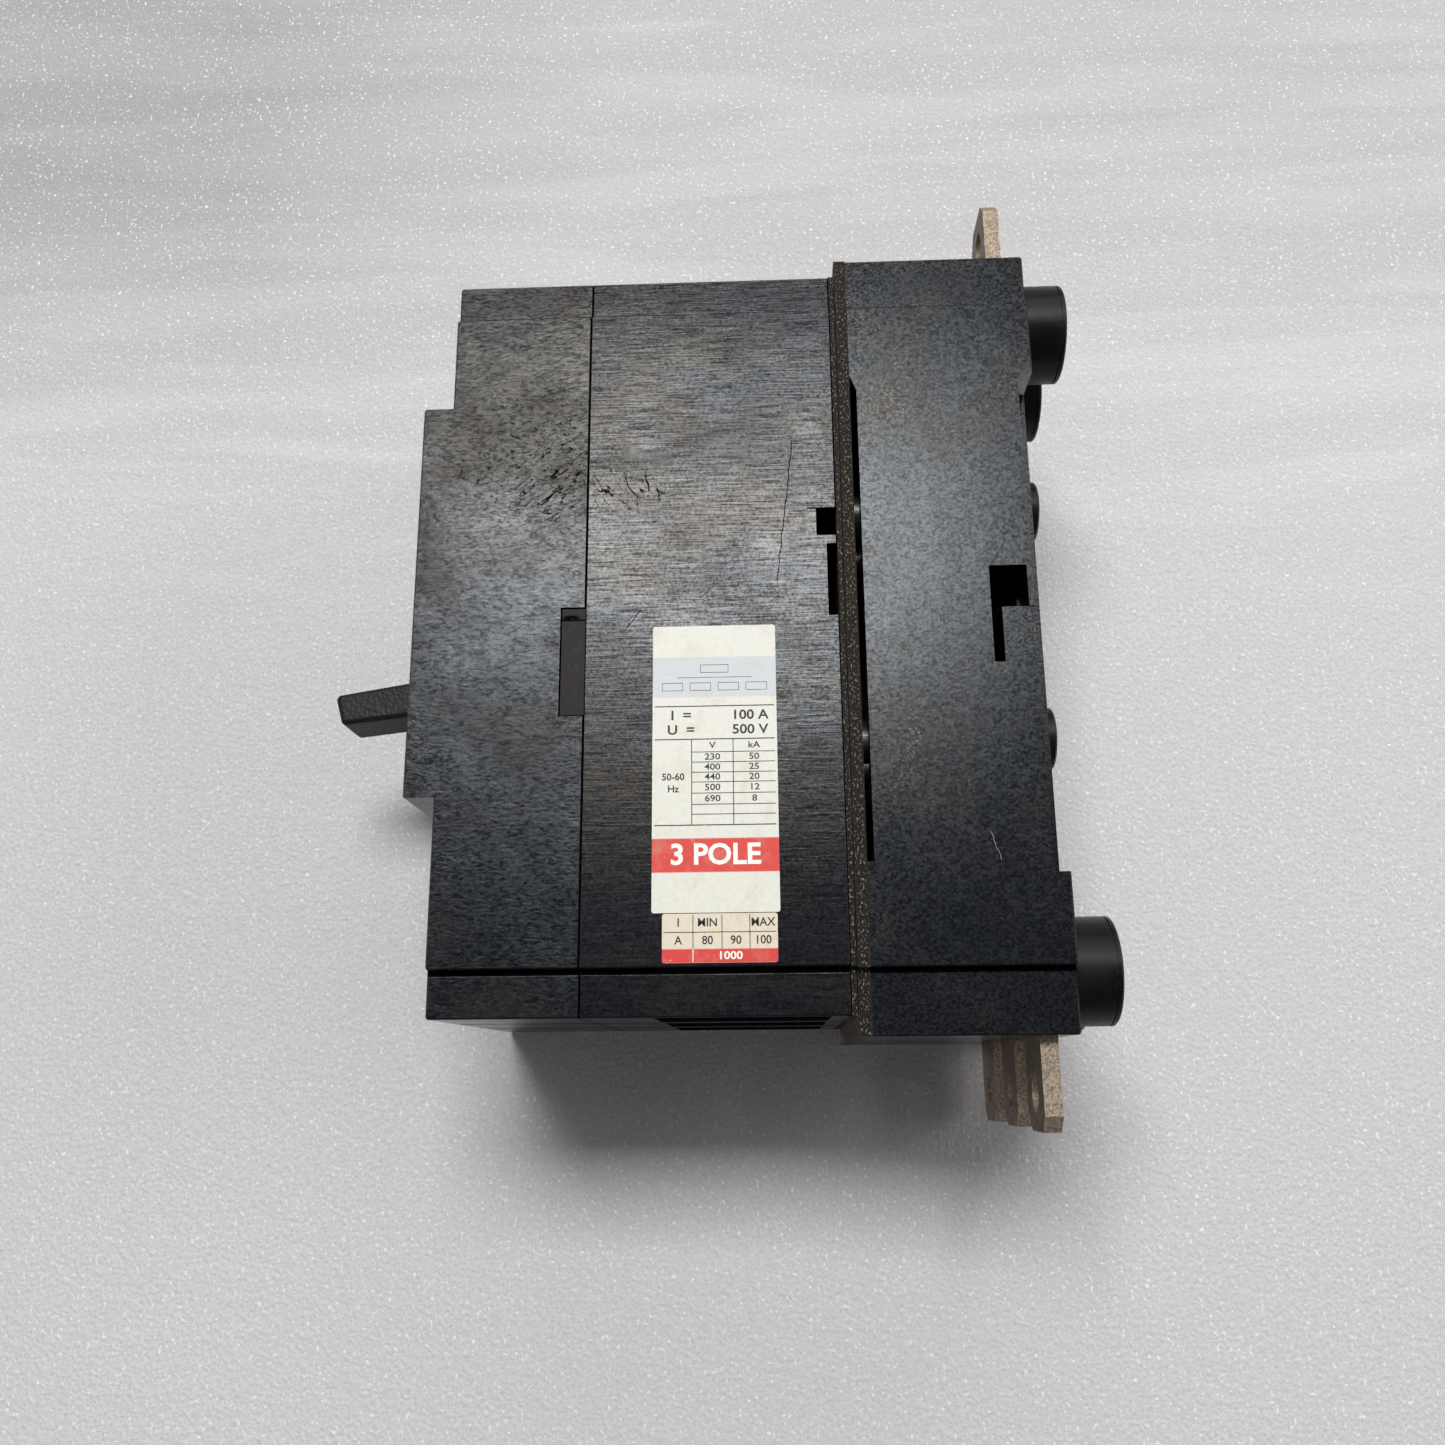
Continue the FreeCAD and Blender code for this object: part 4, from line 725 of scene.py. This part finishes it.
def rating_print(work):
    """Rules, generic ratings and empty boxes on the rating label."""
    x = (LABEL_TOP - 0.02, LABEL_TOP + 0.01)
    y0, y1 = LABEL_LOW.y / MM, LABEL_HIGH.y / MM
    left, right = y0 + 0.5, y1 - 0.5
    middle = (y0 + y1) / 2
    rules = [((left, z), (right, z), 0.22) for z in (TABLE_Z[0] + 7.3, *TABLE_Z)]
    rules += [((TABLE_Y[0], z), (right, z), 0.16) for z in TABLE_ROWS]
    rules += [((y, TABLE_Z[1]), (y, TABLE_Z[0]), 0.18) for y in TABLE_Y]
    side_lines(work, x, rules)
    for figures, y in ((("100 A", "500 V"), right - 5.2), (("I  =", "U  ="), left + 5.6)):
        for words, z in zip(figures, RATING_Z):
            add_text(work, words, (x[0], y, z), 2.1, SIDE_AXES, bold=0.06, wide=1.1)
    levels = (TABLE_Z[0],) + TABLE_ROWS
    for row, figures in enumerate(TABLE_FIGURES):
        z = (levels[row] + levels[row + 1]) / 2
        columns = (TABLE_FIRST_COLUMN_Y, (TABLE_Y[1] + right) / 2)
        for words, y in zip(figures, columns):
            add_text(work, words, (x[0], y, z), 1.4, SIDE_AXES, bold=0.03, wide=1.15)
    for words, z in zip(("50-60", "Hz"), FREQUENCY_Z):
        add_text(work, words, (x[0], (left + TABLE_Y[0]) / 2, z), 1.5, SIDE_AXES, bold=0.04)
    for k in range(4):
        y = middle - 9.0 + 6.0 * k
        frame_rules(work, x, (y - 2.2, y + 2.2), MARK_Z)
    frame_rules(work, x, (middle - 3.0, middle + 3.0), TOP_MARK_Z)
    side_lines(work, x, [((middle - 8.0, MARK_RULE_Z), (middle + 8.0, MARK_RULE_Z), 0.1)])


def frame_rules(work, x, y, z):
    """A thin empty box, printed."""
    side_lines(work, x, [((y[0], z[0]), (y[1], z[0]), 0.1), ((y[0], z[1]), (y[1], z[1]), 0.1),
                         ((y[0], z[0]), (y[0], z[1]), 0.1), ((y[1], z[0]), (y[1], z[1]), 0.1)])


def trip_print(work):
    """The setting table on the trip label."""
    x = (LABEL_TOP - 0.02, LABEL_TOP + 0.01)
    y0, y1 = TRIP_LOW.y / MM, TRIP_HIGH.y / MM
    walls = (y0 + 0.3, *TRIP_WALLS_Y, y1 - 0.3)
    side_lines(work, x, [((walls[0], TRIP_RULE_Z), (walls[-1], TRIP_RULE_Z), 0.16)])
    side_lines(work, x, [((y, TRIP_RED_Z[1]), (y, TRIP_HIGH.z / MM - 0.3), 0.16) for y in TRIP_WALLS_Y])
    for top, low, k in (("I", "A", 0), ("MIN", "80", 1), ("", "90", 2), ("MAX", "100", 3)):
        y = (walls[k] + walls[k + 1]) / 2
        for words, z in zip((top, low), TRIP_TEXT_Z):
            if words:
                add_text(work, words, (x[0], y, z), 1.75, SIDE_AXES, bold=0.035, wide=0.95)


def make_labels():
    stock = paper("label_paper", (0.75, 0.745, 0.665), ((*BAND_Z, (0.56, 0.585, 0.60)),
                                                      (*RED_Z, (0.64, 0.040, 0.028))))
    beige = paper("trip_paper", (0.74, 0.66, 0.52), ((*TRIP_RED_Z, (0.62, 0.035, 0.030)),))
    dark = ink("label_ink", (0.018, 0.018, 0.020), (0.45, 0.44, 0.40))
    white = ink("label_white", (0.85, 0.84, 0.80), (0.70, 0.30, 0.26))
    label_stock("rating_label_sheet", LABEL_LOW, LABEL_HIGH, stock, "rating_label")
    label_stock("trip_label_sheet", TRIP_LOW, TRIP_HIGH, beige, "trip_label")
    piece("rating_label_print", rating_print, dark)
    piece("trip_label_print", trip_print, dark)
    middle = (LABEL_LOW.y + LABEL_HIGH.y) / 2 / MM

    def band_print(work):
        level, first = LABEL_TOP - 0.02, TRIP_WALLS_Y[0]
        add_text(work, "3 POLE", (level, middle, sum(RED_Z) / 2), 4.4, SIDE_AXES, bold=0.16)
        centre = (level, middle + 2.9, sum(TRIP_RED_Z) / 2)
        add_text(work, "1000", centre, 1.6, SIDE_AXES, bold=0.05, wide=1.15)
        divider = ((first, TRIP_RED_Z[0] + 0.2), (first, TRIP_RED_Z[1]), 0.16)
        side_lines(work, (level, level + PRINT_THICK), [divider])

    piece("rating_band_print", band_print, white)


# ---- front markings -----------------------------------------------------
COVER_FACE_Y = -132.7        # the cover's face below and above its raised middle


def front_marks(work):
    """The on and off marks above and below the handle."""
    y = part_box("front_cover")[0].y / MM
    add_text(work, "I", (0.0, y, 33.0), 6.0, FRONT_AXES, bold=0.16)
    add_text(work, "O", (0.0, y, -30.5), 6.0, FRONT_AXES, bold=0.10)


def dial_scale(work):
    """Ticks and figures round the setting dial."""
    low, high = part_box("adjusting_dial")
    dial = (low + high) / 2 / MM
    dial.y = COVER_FACE_Y
    for angle, words in ((-50, "80"), (0, "90"), (50, "100")):
        turn = math.radians(angle)
        across, up = math.sin(turn), math.cos(turn)
        place = dial + Vector((8.6 * across, -0.01, 8.6 * up))
        size = Matrix.Diagonal((0.35 * MM, PRINT_THICK * MM, 1.6 * MM, 1))
        tick = Matrix.Translation(place * MM) @ Matrix.Rotation(turn, 4, "Y") @ size
        bmesh.ops.create_cube(work, size=1.0, matrix=tick)
        centre = dial + Vector((11.6 * across, 0.0, 11.2 * up))
        add_text(work, words, centre, 1.9, FRONT_AXES, bold=0.04)


def make_front_marks():
    white = ink("front_ink", (0.62, 0.61, 0.57), (0.10, 0.10, 0.10))
    piece("handle_position_marks", front_marks, white)
    piece("dial_scale_marks", dial_scale, white)


# ---- coil springs -------------------------------------------------------
TOGGLE_WIRE = 0.45
COIL_STEPS, WIRE_SIDES = 28, 8


def coil_between(work, start, end, radius, wire, turns):
    """A round-wire helix from start to end, in millimetres, with closed ends."""
    start, end = Vector(start), Vector(end)
    along = (end - start).normalized()
    side = along.cross(Vector((0, 0, 1)) if abs(along.z) < 0.9 else Vector((1, 0, 0))).normalized()
    other = along.cross(side)
    steps = turns * COIL_STEPS
    rings = []
    inner = end - start - along * 2 * wire
    for k in range(steps + 1):
        turn = 2 * math.pi * turns * k / steps
        out = side * math.cos(turn) + other * math.sin(turn)
        centre = start + along * wire + inner * (k / steps) + out * radius
        ring = []
        for j in range(WIRE_SIDES):
            angle = 2 * math.pi * j / WIRE_SIDES
            point = centre + out * wire * math.cos(angle) + along * wire * math.sin(angle)
            ring.append(work.verts.new(point * MM))
        rings.append(ring)
    for first, second in zip(rings, rings[1:]):
        for j in range(WIRE_SIDES):
            work.faces.new((first[j], first[j - 1], second[j - 1], second[j]))
    work.faces.new(rings[0])
    work.faces.new(rings[-1][::-1])


def sleeve_ends(node):
    """The end centres of a straight sleeve that lies in a plane of constant X, in millimetres."""
    points = [NODES[node].matrix_world @ corner.co / MM for corner in NODES[node].data.vertices]
    centre = sum(points, Vector()) / len(points)
    spread_y = sum((p.y - centre.y) ** 2 for p in points)
    spread_z = sum((p.z - centre.z) ** 2 for p in points)
    both = sum((p.y - centre.y) * (p.z - centre.z) for p in points)
    turn = 0.5 * math.atan2(2 * both, spread_y - spread_z)
    along = Vector((0.0, math.cos(turn), math.sin(turn)))
    reach = max((p - centre).dot(along) for p in points)
    return centre - along * reach, centre + along * reach


def make_springs():
    """Coils in place of the CAD's sleeves; the one under the button gets a mesh of its own."""
    steel = plated_metal("coil_spring_wire", (0.30, 0.30, 0.31), (0.62, 0.62, 0.62), 0.26)
    for node, axis, wire, turns in (("trip_bar_spring", 0, 0.4, 4), ("trip_button_spring", 1, 0.35, 5)):
        low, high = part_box(node)
        centre = (low + high) / 2 / MM
        start, end = centre.copy(), centre.copy()
        start[axis], end[axis] = low[axis] / MM, high[axis] / MM
        across = (axis + 1) % 3
        radius = (high[across] - low[across]) / 2 / MM - wire
        coil = piece(node + "_coil",
                     lambda work: coil_between(work, start, end, radius, wire, turns), steel)
        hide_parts(node)
        if node == "trip_button_spring":
            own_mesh(coil)
    start, end = sleeve_ends("toggle_spring")
    low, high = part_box("toggle_spring")
    radius = (high.x - low.x) / 2 / MM - TOGGLE_WIRE
    coil = piece("toggle_spring_coil", lambda work: coil_between(work, start, end, radius, TOGGLE_WIRE, 9),
                 steel, "operating_handle")
    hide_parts("toggle_spring")


# ---- stage, lights and camera ------------------------------------------
def make_stage():
    """A sheet behind the side that faces away, which casts no shadow on the breaker."""
    mesh = bpy.data.meshes.new("backdrop")
    work = bmesh.new()
    place = Matrix.Translation((STAGE_X, *MIDDLE[1:])) @ Matrix.Rotation(math.pi / 2, 4, "Y")
    bmesh.ops.create_grid(work, x_segments=1, y_segments=1, size=STAGE_HALF, matrix=place)
    work.to_mesh(mesh)
    work.free()
    obj = bpy.data.objects.new("backdrop", mesh)
    bpy.context.scene.collection.objects.link(obj)
    paint(obj, backdrop_foam())
    obj.visible_shadow = False


def add_light(name, place, size, power, color):
    light = bpy.data.lights.new(name, "AREA")
    light.shape = "RECTANGLE"
    light.size, light.size_y = size
    light.energy = power
    light.color = color
    obj = bpy.data.objects.new(name, light)
    obj.location = place
    obj.rotation_euler = (Vector(MIDDLE) - Vector(place)).to_track_quat("-Z", "Y").to_euler()
    bpy.context.scene.collection.objects.link(obj)


def make_lights():
    white, warm, cool = (1.0, 0.995, 0.99), (1.0, 0.99, 0.98), (0.97, 0.98, 1.0)
    add_light("window_light", (2.09, -0.21, 0.89), (1.12, 0.58), 47, white)
    add_light("high_light", (2.3, 0.25, 3.1), (2.4, 1.5), 24, white)
    add_light("side_light", (1.5, 2.4, 0.3), (1.2, 1.2), 18, white)
    add_light("rear_fill", (-1.1, 1.6, 0.3), (1.9, 1.9), 34, cool)
    add_light("left_fill", (-2.0, 0.1, 0.9), (1.8, 1.8), 34, warm)
    add_light("front_fill", (-1.5, -1.6, 0.1), (2.2, 2.0), 13, warm)
    world = bpy.data.worlds.new("pale_room")
    world.use_nodes = True
    background = world.node_tree.nodes["Background"]
    background.inputs[0].default_value = (0.82, 0.81, 0.84, 1.0)
    background.inputs[1].default_value = 0.19
    bpy.context.scene.world = world


def make_camera():
    """Above the side face, a little below the centre, looking slightly up the breaker."""
    camera = bpy.data.cameras.new("camera")
    camera.sensor_width, camera.lens = 36.0, 32.317
    camera.clip_start, camera.clip_end = 0.01, 20.0
    obj = bpy.data.objects.new("camera", camera)
    place = Vector((311.855, -60.986, -95.673)) * MM
    target = Vector((45.0, -71.255, -23.788)) * MM
    roll = math.radians(-0.468)
    forward = (target - place).normalized()
    right = forward.cross(Vector((0, 0, 1))).normalized()
    up = right.cross(forward)
    axes = Matrix((right, up, -forward)).transposed().to_4x4()
    obj.matrix_world = Matrix.Translation(place) @ axes @ Matrix.Rotation(roll, 4, "Z")
    bpy.context.scene.collection.objects.link(obj)
    bpy.context.scene.camera = obj


bpy.context.scene.view_settings.view_transform = "Standard"
make_camera()
paint_frame()
make_labels()
make_front_marks()
make_springs()
make_stage()
make_lights()
